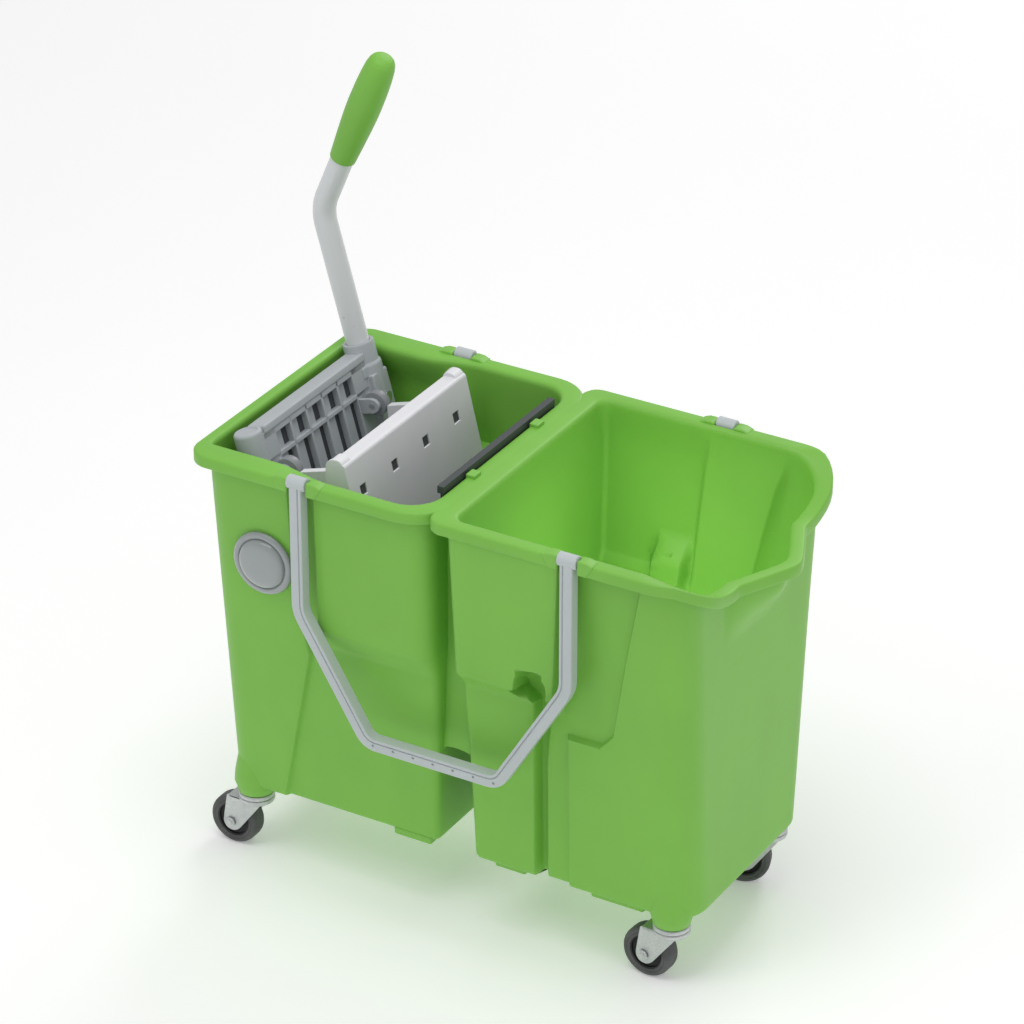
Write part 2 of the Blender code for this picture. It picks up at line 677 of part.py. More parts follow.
def press_plate():
    top, low = PLATE_TOP, 252.0
    outline = [(face_x(top), top), (face_x(low), low), (face_x(low) - PLATE_THICK - 1, low - 1)]
    outline += [(face_x(top - 5) - PLATE_THICK, top - 5)]
    outline += [(face_x(top) - 15, top - 4.5), (face_x(top) - 16, top - 1)]
    body = prism("press_plate", outline, -PLATE_HALF, PLATE_HALF)
    # end flanges with ears above them
    for side in (-1, 1):
        near, far = sorted((side * (PLATE_HALF - 4), side * PLATE_HALF))
        shape = [(face_x(285) - 1, 285), (face_x(285) - 22, 287), (face_x(430) - 27, 430),
                 (face_x(430) - 27, 441), (face_x(top) - 22, 444), (face_x(top) - 12, 442),
                 (face_x(top) - 1, top - 0.5)]
        join(body, prism("flange", shape, near, far))
        near, far = sorted((side * (PLATE_HALF - 17), side * (PLATE_HALF - 0.5)))
        ear = [(face_x(top) - 27, 436), (face_x(top) - 27, 442), (face_x(top) - 22, 445),
               (face_x(top) - 8, 441), (face_x(top) - 8, 436)]
        join(body, prism("ear", ear, near, far))
    cam = [tuple(p) for p in cam_edge()]
    for y in (-ROLLER_Y, ROLLER_Y):
        shape = cam + [(face_x(300) - 14, 300), (face_x(300) - 2, 290), (face_x(425) - 2, 425)]
        join(body, prism("cam", shape, y - 4, y + 4))
    # knuckles on the hinge rod
    x, z = PLATE_HINGE
    for y in (-84, -28, 28, 84):
        low_y, high_y = y - 12, y + 12
        strap = [(x - 8, z), (x - 8, z + 8), (face_x(275) - 4, 275), (face_x(275) - 1, 275),
                 (face_x(254) - 1, 254), (x + 8, z)]
        join(body, prism("strap", strap, low_y, high_y))
        join(body, rod("knuckle", 8, low_y, high_y, "Y", (x, 0, z)))
    cut(body, rod("hole", ROD_R + RUN, -120, 120, "Y", (x, 0, z)))
    holes = []
    for y in (-84.5, -31, 22.5, 76):
        holes.append(block("hole", (face_x(409) - 12, y - 5, 404), (face_x(409) + 12, y + 5, 414)))
    for y in (-90, -65, -40, -15, 10, 35, 60, 85):
        low_z = 300
        holes.append(block("slot", (face_x(305) - 8, y - 2.5, low_z), (face_x(305) + 8, y + 2.5, 325)))
    cut(body, *holes)
    return body


def press_hinge_rod():
    centre = (PLATE_HINGE[0], 0, PLATE_HINGE[1])
    rod("press_hinge_rod", ROD_R, -114, 114, "Y", centre)


def strainer():
    """The fixed press plate: it lies against the divider and curves in to a drained floor."""
    bend = arc_between((-17.5, 440), (-17.5, 246), (-60, 240), 22, 6)
    path = [(-16, 441), (-16.6, 400), *bend, (-58, 240.5)]
    section = [(-1.5, -98), (1.5, -98), (1.5, 98), (-1.5, 98)]
    body = sweep("strainer", path, section, 2)
    join(body, block("lip", (-21, -96, 434), (-14.4, 100, 441)))
    holes = []
    for i in range(8):
        y = -83 + 25 * i
        holes.append(block("slot", (-50, y - 3, 225), (-32, y + 3, 262)))
        holes.append(block("slot", (-30, y - 3, 300), (-8, y + 3, 345)))
        holes.append(block("slot", (-30, y - 3, 360), (-8, y + 3, 405)))
    cut(body, *holes)
    return body


# ---- castors ----------------------------------------------------------------------------
def castor(word, which, side, angle):
    """A swivel castor whose wheel trails from the stem in the direction of angle."""
    x0, y0 = SWIVEL_X[which], side * SWIVEL_Y
    turn = np.array([[math.cos(angle), math.sin(angle)], [-math.sin(angle), math.cos(angle)]])

    def swung(made):
        for vert in made.data.vertices:
            x = vert.co.x * 1000 + ORIGIN_X
            flat = np.array([x, vert.co.y * 1000]) @ turn
            vert.co.x = (flat[0] + x0 - ORIGIN_X) / 1000
            vert.co.y = (flat[1] + y0) / 1000
        made.data.update()
        return made

    name = "castor_" + word + "_"
    centre = (x0, y0, 0)
    stem = [(8, 48.6), (8, 50.6), (STEM_R, 50.6), (STEM_R, 56.9), (17.2, 56.9), (17.2, 60.6),
            (15.8, 61.6), (STEM_R, 61.6), (STEM_R, 96)]
    turned(name + "stem", stem, "Z", centre, count=16)

    fork = rod("fork", 17.2, 51.4, 56.4, "Z", (0, 0, 0), 20)
    fork.name = name + "fork"
    join(fork, block("crown", (-8, -12.2, 52), (24, 12.2, 54.2)))
    for y in (-12.2, 10.2):
        cheek = [(-10, 54), (-10, 50), (14, 18), (20, 15.5), (27, 17), (30.5, 23), (30, 29),
                 (26, 54)]
        join(fork, prism("cheek", cheek, y, y + 2))
    cut(fork, rod("hole", STEM_R + 0.3, 40, 60, "Z", (0, 0, 0), 16))
    cut(fork, rod("hole", 3.1, -20, 20, "Y", (TRAIL, 0, WHEEL_R), 16))
    swung(fork)

    axle_at = (TRAIL, 0, WHEEL_R)
    tread = WHEEL_R / math.cos(math.pi / 28)
    tyre = [(17.2, -8.6), (22.5, -9), (tread, -5), (tread, 5), (22.5, 9), (17.2, 8.6)]
    swung(turned(name + "tyre", tyre, "Y", axle_at, count=28, bored=True))
    hub = [(3.1, -9.6), (6.5, -9.6), (7, -5.2), (15.8, -5.2), (16.8, -7.6), (16.8, 7.6),
           (15.8, 5.2), (7, 5.2), (6.5, 9.6), (3.1, 9.6)]
    swung(turned(name + "hub", hub, "Y", axle_at, count=20, bored=True))
    bolt = [(5, -15), (5.6, -14), (5.6, -12.6), (3, -12.6), (3, 15.8)]
    swung(turned(name + "axle", bolt, "Y", axle_at, count=16))
    nut = [(3.1, 12.6), (5.6, 12.6), (5.6, 15), (3.1, 15)]
    rings = [placed(circle(r, 18 if r < 4 else 18), h, "Y", axle_at) for r, h in nut]
    for made in rings[1:3]:
        flat = hexagon(5.6)
        made[:, 2] = axle_at[2] + flat[:, 0]
        made[:, 0] = axle_at[0] + flat[:, 1]
    swung(loft(name + "nut", rings, closed=True))


def hexagon(radius, each=3):
    corner = circle(radius, 6, 0)
    after = np.roll(corner, -1, axis=0)
    share = np.arange(each)[:, None, None] / each
    points = corner + (after - corner) * share
    flat = points.transpose(1, 0, 2).reshape(-1, 2)
    turn = math.radians(10)
    return flat @ np.array([[math.cos(turn), math.sin(turn)], [-math.sin(turn), math.cos(turn)]])


def main():
    for old in list(bpy.data.objects):
        bpy.data.objects.remove(old)
    bucket()
    bail("bail_front", -1)
    bail("bail_back", 1)
    lever_shaft()
    for side, word in ((-1, "front"), (1, "back")):
        pivot_fittings(side, word)
        roller_set(side, word)
    lever_carrier()
    lever_tube()
    lever_grip()
    bolt = lever_bolt_shape("lever_bolt", 0, 19.5)
    bolt.name = "lever_bolt"
    press_plate()
    press_hinge_rod()
    strainer()
    for word, (which, side, angle) in CASTORS.items():
        castor(word, which, side, angle)


main()
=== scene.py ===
# Twin mop bucket with a side press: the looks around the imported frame.
# Lengths are millimetres in the bucket's own frame and become metres in the row frame
# where a mesh is made. X runs from the wringer side to the spout, Y to the back, Z up.
import math

import bmesh
import bpy
import numpy as np
from mathutils import Matrix


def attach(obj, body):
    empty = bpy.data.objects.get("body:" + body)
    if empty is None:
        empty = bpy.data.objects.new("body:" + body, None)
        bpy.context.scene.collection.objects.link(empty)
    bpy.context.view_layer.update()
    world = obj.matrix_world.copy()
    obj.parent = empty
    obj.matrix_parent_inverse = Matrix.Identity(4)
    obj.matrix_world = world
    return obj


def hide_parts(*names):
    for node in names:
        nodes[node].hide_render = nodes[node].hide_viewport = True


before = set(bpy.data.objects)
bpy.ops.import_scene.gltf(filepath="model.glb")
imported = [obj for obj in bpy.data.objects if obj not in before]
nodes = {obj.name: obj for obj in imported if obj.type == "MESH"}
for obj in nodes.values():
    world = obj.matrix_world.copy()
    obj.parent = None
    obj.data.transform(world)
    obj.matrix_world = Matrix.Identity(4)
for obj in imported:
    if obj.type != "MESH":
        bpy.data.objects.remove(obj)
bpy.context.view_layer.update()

layout = {
    "originX": 8.5,        # the row frame's origin in the bucket's frame
    "pinX": (-135.8, 140.2),
    "pinY": 144.5,
    "pinZ": 434.9,
    "pivot": (-181.5, 336.0),
    "lean": math.radians(15.8),
    "plateHinge": (-75.0, 240.0),
    "swivelX": (-223.1, 220.1),
    "swivelY": 93.9,
}


# arrays into meshes
def metres(points):
    return (np.asarray(points, float) - (layout["originX"], 0, 0)) / 1000


def smooth(t):
    # 3t^2 - 2t^3 between 0 and 1, flat beyond
    t = np.clip(t, 0, 1)
    return t * t * (3 - 2 * t)


def meshObject(name, points, faces, edgeAngle=38):
    # merges seams and poles, turns the faces outwards and shades smooth up to edgeAngle
    mesh = bpy.data.meshes.new(name)
    mesh.from_pydata(metres(points).tolist(), [], [list(map(int, face)) for face in faces])
    work = bmesh.new()
    work.from_mesh(mesh)
    bmesh.ops.remove_doubles(work, verts=work.verts, dist=2e-6)
    bmesh.ops.dissolve_degenerate(work, edges=work.edges, dist=1e-6)
    bmesh.ops.recalc_face_normals(work, faces=work.faces)
    if work.calc_volume(signed=True) < 0:
        bmesh.ops.reverse_faces(work, faces=work.faces)
    work.to_mesh(mesh)
    work.free()
    mesh.shade_smooth()
    mesh.set_sharp_from_angle(angle=math.radians(edgeAngle))
    made = bpy.data.objects.new(name, mesh)
    bpy.context.scene.collection.objects.link(made)
    return made


def gridFaces(rows, columns, wrapRows=False):
    # quads between neighbours of a rows x columns grid of points, closed along its columns
    i = np.arange(rows if wrapRows else rows - 1)[:, None]
    j = np.arange(columns)[None, :]
    nextI, nextJ = (i + 1) % rows, (j + 1) % columns
    corners = [i * columns + j, i * columns + nextJ, nextI * columns + nextJ,
               nextI * columns + j]
    return np.stack(np.broadcast_arrays(*corners), -1).reshape(-1, 4)


def gridObject(name, grid, wrapRows=False, edgeAngle=38):
    rows, columns = grid.shape[:2]
    faces = gridFaces(rows, columns, wrapRows)
    return meshObject(name, grid.reshape(-1, 3), faces, edgeAngle)


def rounded(corners, radius, steps=4):
    # each corner of a polyline becomes an arc tangent to both legs, written as a
    # quadratic curve from a to b through the corner: (1-t)^2 a + 2t(1-t) c + t^2 b
    points = np.asarray(corners, float)
    radius = np.broadcast_to(np.asarray(radius, float), len(points))
    before, after = np.roll(points, 1, 0) - points, np.roll(points, -1, 0) - points
    reachBefore = np.linalg.norm(before, axis=1)
    reachAfter = np.linalg.norm(after, axis=1)
    reach = np.minimum(radius, 0.48 * np.minimum(reachBefore, reachAfter))
    a = points + before / reachBefore[:, None] * reach[:, None]
    b = points + after / reachAfter[:, None] * reach[:, None]
    t = np.linspace(0, 1, steps + 1)[None, :, None]
    arcs = (1 - t) ** 2 * a[:, None] + 2 * t * (1 - t) * points[:, None] + t**2 * b[:, None]
    return arcs.reshape(-1, 2)


def turned(name, profile, axis, centre, count=48, edgeAngle=38):
    # surface of revolution: radius and place along the axis from the profile
    profile = np.asarray(profile, float)
    angle = np.arange(count) * 2 * math.pi / count
    radius, axial = profile[:, :1], profile[:, 1:]
    a, b = radius * np.cos(angle), radius * np.sin(angle)
    c = axial + 0 * a
    order = {"X": (c, a, b), "Y": (b, c, a), "Z": (a, b, c)}[axis]
    grid = np.stack(order, -1) + np.asarray(centre, float)
    return gridObject(name, grid, True, edgeAngle)


def swept(name, path, section, y, edgeAngle=38):
    # a section of (across, along Y) carried along a path in the XZ plane, mitred
    path, section = np.asarray(path, float), np.asarray(section, float)
    step = np.diff(path, axis=0)
    step /= np.linalg.norm(step, axis=1)[:, None]
    before, after = np.vstack([step[:1], step]), np.vstack([step, step[-1:]])
    mean = before + after
    mean /= np.linalg.norm(mean, axis=1)[:, None]
    normal = np.column_stack([-mean[:, 1], mean[:, 0]]) / (before * mean).sum(1)[:, None]
    flat = path[:, None] + section[None, :, :1] * normal[:, None]
    grid = np.stack([flat[..., 0], section[None, :, 1] + y + 0 * flat[..., 0], flat[..., 1]], -1)
    middle = grid.mean(1, keepdims=True) + 0 * grid
    grid = np.concatenate([middle[:1], grid, middle[-1:]])
    return gridObject(name, grid, False, edgeAngle)


def prism(name, outline, low, high, axis="Y", bevel=0.8, segments=3):
    # a straight prism whose edges a Bevel modifier rounds
    outline = np.asarray(outline, float)
    count = len(outline)
    a, b = outline.T
    ends = []
    for axial in (low, high):
        c = np.full(count, float(axial))
        ends.append(np.column_stack({"X": (c, a, b), "Y": (a, c, b), "Z": (a, b, c)}[axis]))
    faces = gridFaces(2, count).tolist() + [range(count), range(count, 2 * count)]
    made = meshObject(name, np.vstack(ends), faces)
    if bevel:
        soften(made, bevel, segments)
    return made


def soften(made, width, segments=3):
    edge = made.modifiers.new("softEdge", "BEVEL")
    edge.width = width / 1000
    edge.segments = segments
    edge.limit_method = "ANGLE"
    edge.angle_limit = math.radians(32)
    edge.harden_normals = True
    return made


def box(name, low, high, bevel=0.8):
    (x0, y0, z0), (x1, y1, z1) = low, high
    return prism(name, [(x0, y0), (x1, y0), (x1, y1), (x0, y1)], z0, z1, "Z", bevel)


def bake(made):
    # applies the modifiers that are on an object
    graph = bpy.context.evaluated_depsgraph_get()
    mesh = bpy.data.meshes.new_from_object(made.evaluated_get(graph))
    made.modifiers.clear()
    made.data = mesh
    return made


def cutWith(made, tools):
    for tool in tools:
        hole = made.modifiers.new("hole", "BOOLEAN")
        hole.operation = "DIFFERENCE"
        hole.solver = "EXACT"
        hole.object = tool
        bake(made)
        bpy.data.objects.remove(tool)
    return made


def gathered(name, parts):
    # several closed pieces of one moulding in one mesh, its wide flat faces shaded flat
    work = bmesh.new()
    for part in parts:
        bake(part)
        work.from_mesh(part.data)
        bpy.data.objects.remove(part)
    mesh = bpy.data.meshes.new(name)
    work.to_mesh(mesh)
    work.free()
    mesh.shade_smooth()
    mesh.set_sharp_from_angle(angle=math.radians(38))
    made = bpy.data.objects.new(name, mesh)
    bpy.context.scene.collection.objects.link(made)
    flat = made.modifiers.new("flatFaces", "WEIGHTED_NORMAL")
    flat.keep_sharp = True
    return made


def place(made, body, slot, material, *replaced):
    made.data.materials.clear()
    made.data.materials.append(material)
    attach(made, body)
    if replaced:
        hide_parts(*replaced)
    return made


# materials
class Wire:
    # a socket of a node tree: + - and * on it add Math nodes
    def __init__(self, tree, socket):
        self.tree, self.socket = tree, socket

    def maths(self, operation, first, second):
        made = self.tree.nodes.new("ShaderNodeMath")
        made.operation = operation
        for socket, value in zip(made.inputs, (first, second)):
            feed(self.tree, socket, value)
        return Wire(self.tree, made.outputs[0])

    def __add__(self, other):
        return self.maths("ADD", self, other)

    def __sub__(self, other):
        return self.maths("SUBTRACT", self, other)

    def __mul__(self, other):
        return self.maths("MULTIPLY", self, other)

    def __rsub__(self, other):
        return self.maths("SUBTRACT", other, self)

    def held(self):
        return self.maths("MINIMUM", self.maths("MAXIMUM", self, 0.0), 1.0)

    __radd__ = __add__
    __rmul__ = __mul__


def feed(tree, socket, value):
    if isinstance(value, Wire):
        tree.links.new(value.socket, socket)
    elif value is not None:
        socket.default_value = value


class Finish:
    # a material with a Principled shader and one method for every other node
    def __init__(self, name):
        self.material = bpy.data.materials.new(name)
        self.material.use_nodes = True
        self.tree = self.material.node_tree
        self.shader = self.tree.nodes["Principled BSDF"]
        self.place = self.node("ShaderNodeTexCoord", {}, {}, "Object")

    def node(self, kind, settings, sockets, out=0):
        made = self.tree.nodes.new(kind)
        for name, value in settings.items():
            setattr(made, name, value)
        for name, value in sockets.items():
            feed(self.tree, made.inputs[name], value)
        return Wire(self.tree, made.outputs[out])

    def noise(self, scale, detail=3.0, stretch=None, roughness=0.5):
        where = self.place
        if stretch:
            where = self.node("ShaderNodeMapping", {}, {"Vector": where, "Scale": stretch})
        return self.node("ShaderNodeTexNoise", {}, {
            "Vector": where, "Scale": scale, "Detail": detail, "Roughness": roughness})

    def spread(self, value, low, high):
        return self.node("ShaderNodeMapRange", {}, {
            "Value": value, "From Min": low, "From Max": high})

    def mixed(self, share, first, second):
        made = self.tree.nodes.new("ShaderNodeMix")
        made.data_type = "RGBA"
        feed(self.tree, made.inputs[0], share)
        feed(self.tree, made.inputs[6], first)
        feed(self.tree, made.inputs[7], second)
        return Wire(self.tree, made.outputs[2])

    def bump(self, height, distance, strength=1.0, normal=None):
        sockets = {"Height": height, "Distance": distance, "Strength": strength}
        if normal is not None:
            sockets["Normal"] = normal
        return self.node("ShaderNodeBump", {}, sockets)

    def softEdges(self, radius):
        # rounds the hard edges of a carried-over solid in its shading
        return self.node("ShaderNodeBevel", {"samples": 8}, {"Radius": radius})

    def give(self, sockets):
        for name, value in sockets.items():
            feed(self.tree, self.shader.inputs[name], value)
        return self.material


def colour(red, green, blue, shade=1.0):
    return (red * shade, green * shade, blue * shade, 1.0)


def moulded(name, base, roughness=0.42, grain=0.5, coat=0.0, edges=0.0, scuffs=0.3):
    # moulded plastic: fine spark grain, faint flow marks, rubbed patches and lighter worn edges
    finish = Finish(name)
    cloud = finish.noise(9, 4)
    flow = finish.noise(26, 3, (1.0, 1.0, 0.22))
    rubbed = finish.spread(finish.noise(34, 6, (1.0, 1.0, 2.6), 0.62), 0.58, 0.74)
    worn = finish.spread(finish.node("ShaderNodeNewGeometry", {}, {}, "Pointiness"), 0.52, 0.6)
    scratch = finish.spread(finish.noise(420, 2, (0.05, 1.0, 0.6)), 0.66, 0.72)
    tint = finish.mixed(finish.spread(cloud * 0.7 + flow * 0.3, 0.3, 0.7),
                        colour(*base, 0.95), colour(*base, 1.05))
    lighter = tuple(value * 0.86 + 0.14 * 0.75 for value in base)
    tint = finish.mixed((worn * 0.35 + rubbed * scratch * scuffs).held(), tint, colour(*lighter))
    soft = finish.softEdges(edges) if edges else None
    ripple = finish.bump(flow, 0.0004, 0.35, soft)
    normal = finish.bump(finish.noise(1500, 2) + finish.noise(560, 2) * 0.6, 0.00006, grain, ripple)
    rough = roughness + (cloud - 0.5) * 0.1 + rubbed * 0.08 - worn * 0.06
    return finish.give({"Base Color": tint, "Roughness": rough, "Normal": normal,
                        "Coat Weight": coat, "Coat Roughness": 0.12, "Specular IOR Level": 0.3})


def painted(name, base, roughness):
    # powder paint on steel: orange peel, specks of handling wear
    finish = Finish(name)
    peel = finish.noise(330, 2)
    chips = finish.spread(finish.noise(150, 5), 0.7, 0.74)
    tint = finish.mixed(finish.noise(14, 3), colour(*base, 0.95), colour(*base, 1.04))
    tint = finish.mixed(chips * 0.5, tint, colour(*base, 0.62))
    rough = roughness + (peel - 0.5) * 0.08 + chips * 0.2
    return finish.give({"Base Color": tint, "Roughness": rough, "Coat Weight": 0.25,
                        "Coat Roughness": 0.2, "Normal": finish.bump(peel, 0.00012, 0.4)})


def plated(name, base, roughness=0.3, edges=0.0):
    # bright zinc: crystal spangle, rolling lines and grey bloom
    finish = Finish(name)
    spangle = finish.node("ShaderNodeTexVoronoi", {}, {"Vector": finish.place, "Scale": 420.0},
                          "Distance")
    lines = finish.noise(900, 3, (0.12, 1.0, 1.0))
    bloom = finish.spread(finish.noise(95, 5), 0.5, 0.75)
    tint = finish.mixed(spangle, colour(*base, 0.9), colour(*base, 1.06))
    tint = finish.mixed(bloom * 0.4, tint, colour(0.5, 0.52, 0.53))
    soft = finish.softEdges(edges) if edges else None
    normal = finish.bump(lines * 0.5 + spangle * 0.5, 0.00005, 0.5, soft)
    rough = roughness + lines * 0.12 + bloom * 0.16
    return finish.give({"Base Color": tint, "Metallic": 0.92 - bloom * 0.25, "Roughness": rough,
                        "Normal": normal})


def rubbery(name, base, dust):
    # tyre rubber: mould pits, dust held in them and a dry bloom
    finish = Finish(name)
    pits = finish.noise(1100, 3)
    bloom = finish.noise(60, 5)
    dusty = finish.spread(bloom * 0.6 + pits * 0.4, 0.42, 0.68)
    tint = finish.mixed(dusty, colour(*base), colour(*dust))
    return finish.give({"Base Color": tint, "Roughness": 0.62 + dusty * 0.18,
                        "Normal": finish.bump(pits, 0.00014, 0.6), "Specular IOR Level": 0.35})


green = moulded("greenPolypropylene", (0.215, 0.53, 0.075), 0.42, 0.4)
greenGrip = moulded("greenGripPlastic", (0.2, 0.49, 0.07), 0.46, 0.8)
handleGrey = moulded("greyHandlePlastic", (0.53, 0.575, 0.585), 0.4, 0.5)
carrierGrey = moulded("greyCarrierPlastic", (0.46, 0.49, 0.515), 0.42, 0.5)
plateGrey = moulded("paleGreyPlatePlastic", (0.80, 0.80, 0.83), 0.4, 0.5)
capGrey = moulded("glossGreyCapPlastic", (0.33, 0.36, 0.365), 0.2, 0.1, coat=1.0, scuffs=0.1)
darkPlastic = moulded("darkStrainerPlastic", (0.035, 0.043, 0.047), 0.46, 0.8, edges=0.0008)
# painted shade: a near-black colour for the shade in the deep ends of the carrier's pockets and
# behind the press plate's holes and slots
paintedShade = moulded("paintedShadeInHollows", (0.05, 0.055, 0.062), 0.6, 0.8)
rollerPlastic = moulded("rollerPlastic", (0.27, 0.28, 0.30), 0.36, 0.4)
blackPlastic = moulded("blackHubPlastic", (0.012, 0.012, 0.013), 0.4, 0.6)
tubePaint = painted("greyTubePaint", (0.68, 0.70, 0.715), 0.34)
zinc = plated("brightZinc", (0.58, 0.60, 0.60), 0.36)
steel = plated("turnedSteel", (0.62, 0.63, 0.64), 0.26, 0.0004)
tyreRubber = rubbery("greyTyreRubber", (0.085, 0.088, 0.088), (0.145, 0.147, 0.147))
bushPlastic = moulded("greyBushPlastic", (0.38, 0.40, 0.43), 0.4, 0.5, edges=0.0005)
print("materials are ready")

# bucket: one skin for each compartment
wringerCup = {
    # height, left, right, left and right corner radius of the wall
    "wall": np.array([
        (73, -242.5, -18.4, 25, 8), (123, -243.0, -15.7, 25, 8), (237, -243.8, -10.0, 25, 9),
        (257, -243.9, -9.8, 25, 11), (283, -244.1, -8.0, 25, 18), (433, -245.0, -7.0, 25, 22),
    ]),
    "rim": (-254.6, 6.0, 147.5, 22, 42),
    "opening": (-242.6, -13.5, 131.0, 18, 30),
    # the turn of each edge of the long wall against height, then its place at the rim
    "edges": [
        ([(60, -184), (246, -141), (300, -152), (440, -152)], 2.0, (-146.1, -145.3)),
        ([(60, -125), (440, -125)], 2.0, (-126.3, -125.5)),
    ],
    "gaps": (7, 5, 3, 5, 10),   # columns between and across those edges
    "endColumns": 10,
    "pin": -135.8,
    # where the sunk field and the raised panel begin, and how far out the panel stands
    "fieldLeft": [(60, -184), (246, -141), (300, -152), (440, -152)],
    "panelLeft": -125.0,
    "panel": [(200, 82.3), (257, 118.5), (283, 135.0), (433, 139.6)],
    "innerStep": 2.5,
}
spoutCup = {
    "wall": np.array([
        (73, 22, 248.0, 8, 30), (123, 22, 248.3, 8, 30), (200, 21.5, 248.6, 8, 31),
        (262, 20, 248.9, 7, 32), (282, 18, 249.0, 8, 32), (433, 16, 250.0, 8, 34),
    ]),
    "rim": (-4.0, 264.0, 147.5, 16, 46),
    "opening": (18.4, 248.6, 131.0, 10, 34),
    "edges": [
        ([(60, 86.5), (205, 92), (268, 95), (282, 80), (440, 84)], 2.0, (84, 88)),
        ([(60, 96), (208, 102), (287, 111.5), (440, 111)], 2.0, (108, 112)),
        ([(60, 121), (171, 125), (241, 126.5), (262, 119), (282, 121), (433, 130.5)], 2.0,
         (129.9, 130.7)),
        ([(60, 140), (241, 144), (300, 150), (440, 150)], 1.0, (149.7, 150.5)),
        ([(60, 158), (241, 160), (256, 173), (343, 189), (424, 206), (440, 206)], 2.0,
         (203, 207)),
    ],
    "gaps": (8, 5, 3, 5, 4, 5, 4, 2, 4, 5, 3),
    "endColumns": 26,
    "pin": 140.2,
    "fieldLeft": [(60, 95), (208, 101), (262, 108), (440, 108)],
    "strip": [(60, 121), (171, 125), (241, 126.5), (440, 126.5)],
    "fieldRight": [(241, 160), (256, 173), (343, 189), (424, 206)],
    "fieldStep": 241.0,
    "panel": [(200, 73.6), (262, 121.0), (282, 136.3), (433, 145.4)],
    "panelRight": [(262, 119), (282, 121), (433, 130.5)],
    "innerStep": 5.0,
    "grooveLeft": [(60, 86.5), (205, 92), (268, 95), (279, 80), (304, 84)],
    "grooveRight": [(60, 96), (208, 102), (287, 111.5), (440, 110)],
    "grooveTop": 306.0,
    "grooveBow": 10.0,
    "grooveRunOut": (15.0, 28.0),   # inside: how far above the top it ends, and over what length
}
shell = {
    "thickness": 3.3, "foot": 73.0, "footRadius": 6.0, "rimTop": 436.0, "lipBottom": 424.5,
    "flangeUnder": 431.5, "lipThickness": 3.0, "innerFoot": 77.0, "innerRadius": 11.0,
    "notchHalf": 9.8, "notchDepth": 136.5, "edge": 1.6,
    "footHalf": 109.0, "taper": 29.2 / 360, "fieldDepth": 5.0, "fieldTop": 428.0,
    "grooveDepth": 13.5, "panelBlend": 2.5, "crease": 1.2, "creaseWidth": 6.0,
    "noseFrom": 205.0, "noseLength": 42.0, "noseReach": 30.0, "noseHalf": 62.0, "noseDrop": 31.0,
    "dip": 0.3, "divider": 1.0, "innerEase": 40.0,
}


def ramp(distance, width):
    # 0 before -width, 1 after +width
    return smooth((distance + width) / (2 * width))


def softMax(a, b, blend):
    # (a + b + sqrt((a - b)^2 + blend^2)) / 2
    return (a + b + np.sqrt((a - b) ** 2 + blend**2)) / 2


def along(z, *knots):
    table = np.array(knots, float)
    return np.interp(z, table[:, 0], table[:, 1])


def taper(z):
    return shell["footHalf"] + shell["taper"] * (z - shell["foot"])


def sunkWall(z, sunk):
    # the long wall's half depth where a share of the field is sunk, level again near the rim
    return taper(z) - shell["fieldDepth"] * sunk * ramp(shell["fieldTop"] - z, 3)


def raised(cup, wall, z, inside, share):
    # the upper panel stands out of the wall, with a crease exp(-d^2 / w^2) where they meet
    panel = along(z, *cup["panel"]) - cup["innerStep"] * inside
    crease = shell["crease"] * np.exp(-((wall - panel) / shell["creaseWidth"]) ** 2)
    return wall + (softMax(wall, panel, shell["panelBlend"]) - crease - wall) * share


def wringerWall(x, z, inside):
    # half depth of the long wall: a field sunk right of its edge, then the raised panel;
    # inside shifts each edge by the wall's thickness and makes it wider
    cup, shift = wringerCup, shell["thickness"] * inside
    width = shell["edge"] * (1 + 2 * inside)
    wall = sunkWall(z, ramp(x - along(z, *cup["fieldLeft"]) + shift, width))
    return raised(cup, wall, z, inside, ramp(x - cup["panelLeft"] - shift, width))


def spoutWall(x, z, inside):
    # as above, with the panel left of its edge, a field that widens upwards, and a groove
    # whose top is bowed; inside, the groove runs out slowly
    cup, shift = spoutCup, shell["thickness"] * inside
    width = shell["edge"] * (1 + 2 * inside)
    fieldLeft = along(z, *cup["fieldLeft"]) - shift
    lower = ramp(along(z, *cup["strip"]) + shift - x, width)
    upper = ramp(z - cup["fieldStep"] + shift, width)
    upper = upper * ramp(along(z, *cup["fieldRight"]) + shift - x, width)
    wall = sunkWall(z, ramp(x - fieldLeft, width) * np.maximum(lower, upper))
    wall = raised(cup, wall, z, inside, ramp(along(z, *cup["panelRight"]) - shift - x, width))
    left, right = along(z, *cup["grooveLeft"]) - shift, along(z, *cup["grooveRight"]) + shift
    groove = ramp(x - left, width) * ramp(right - x, width)
    bow = cup["grooveBow"] * ((2 * x - left - right) / (right - left)) ** 2
    top, (above, length) = cup["grooveTop"], cup["grooveRunOut"]
    if inside:
        groove = groove * smooth((top + above - z) / length)
    else:
        groove = groove * ramp(top - bow - z, width)
    return wall - np.maximum(wall - taper(z) + shell["grooveDepth"], 0) * groove


def columnShares(cup):
    # each column of the long wall lies between two neighbouring edge curves
    starts = [np.full(count, i) for i, count in enumerate(cup["gaps"])]
    shares = [np.arange(count) / count for count in cup["gaps"]]
    return np.concatenate(starts + [[len(cup["gaps"]) - 1]]), np.concatenate(shares + [[1.0]])


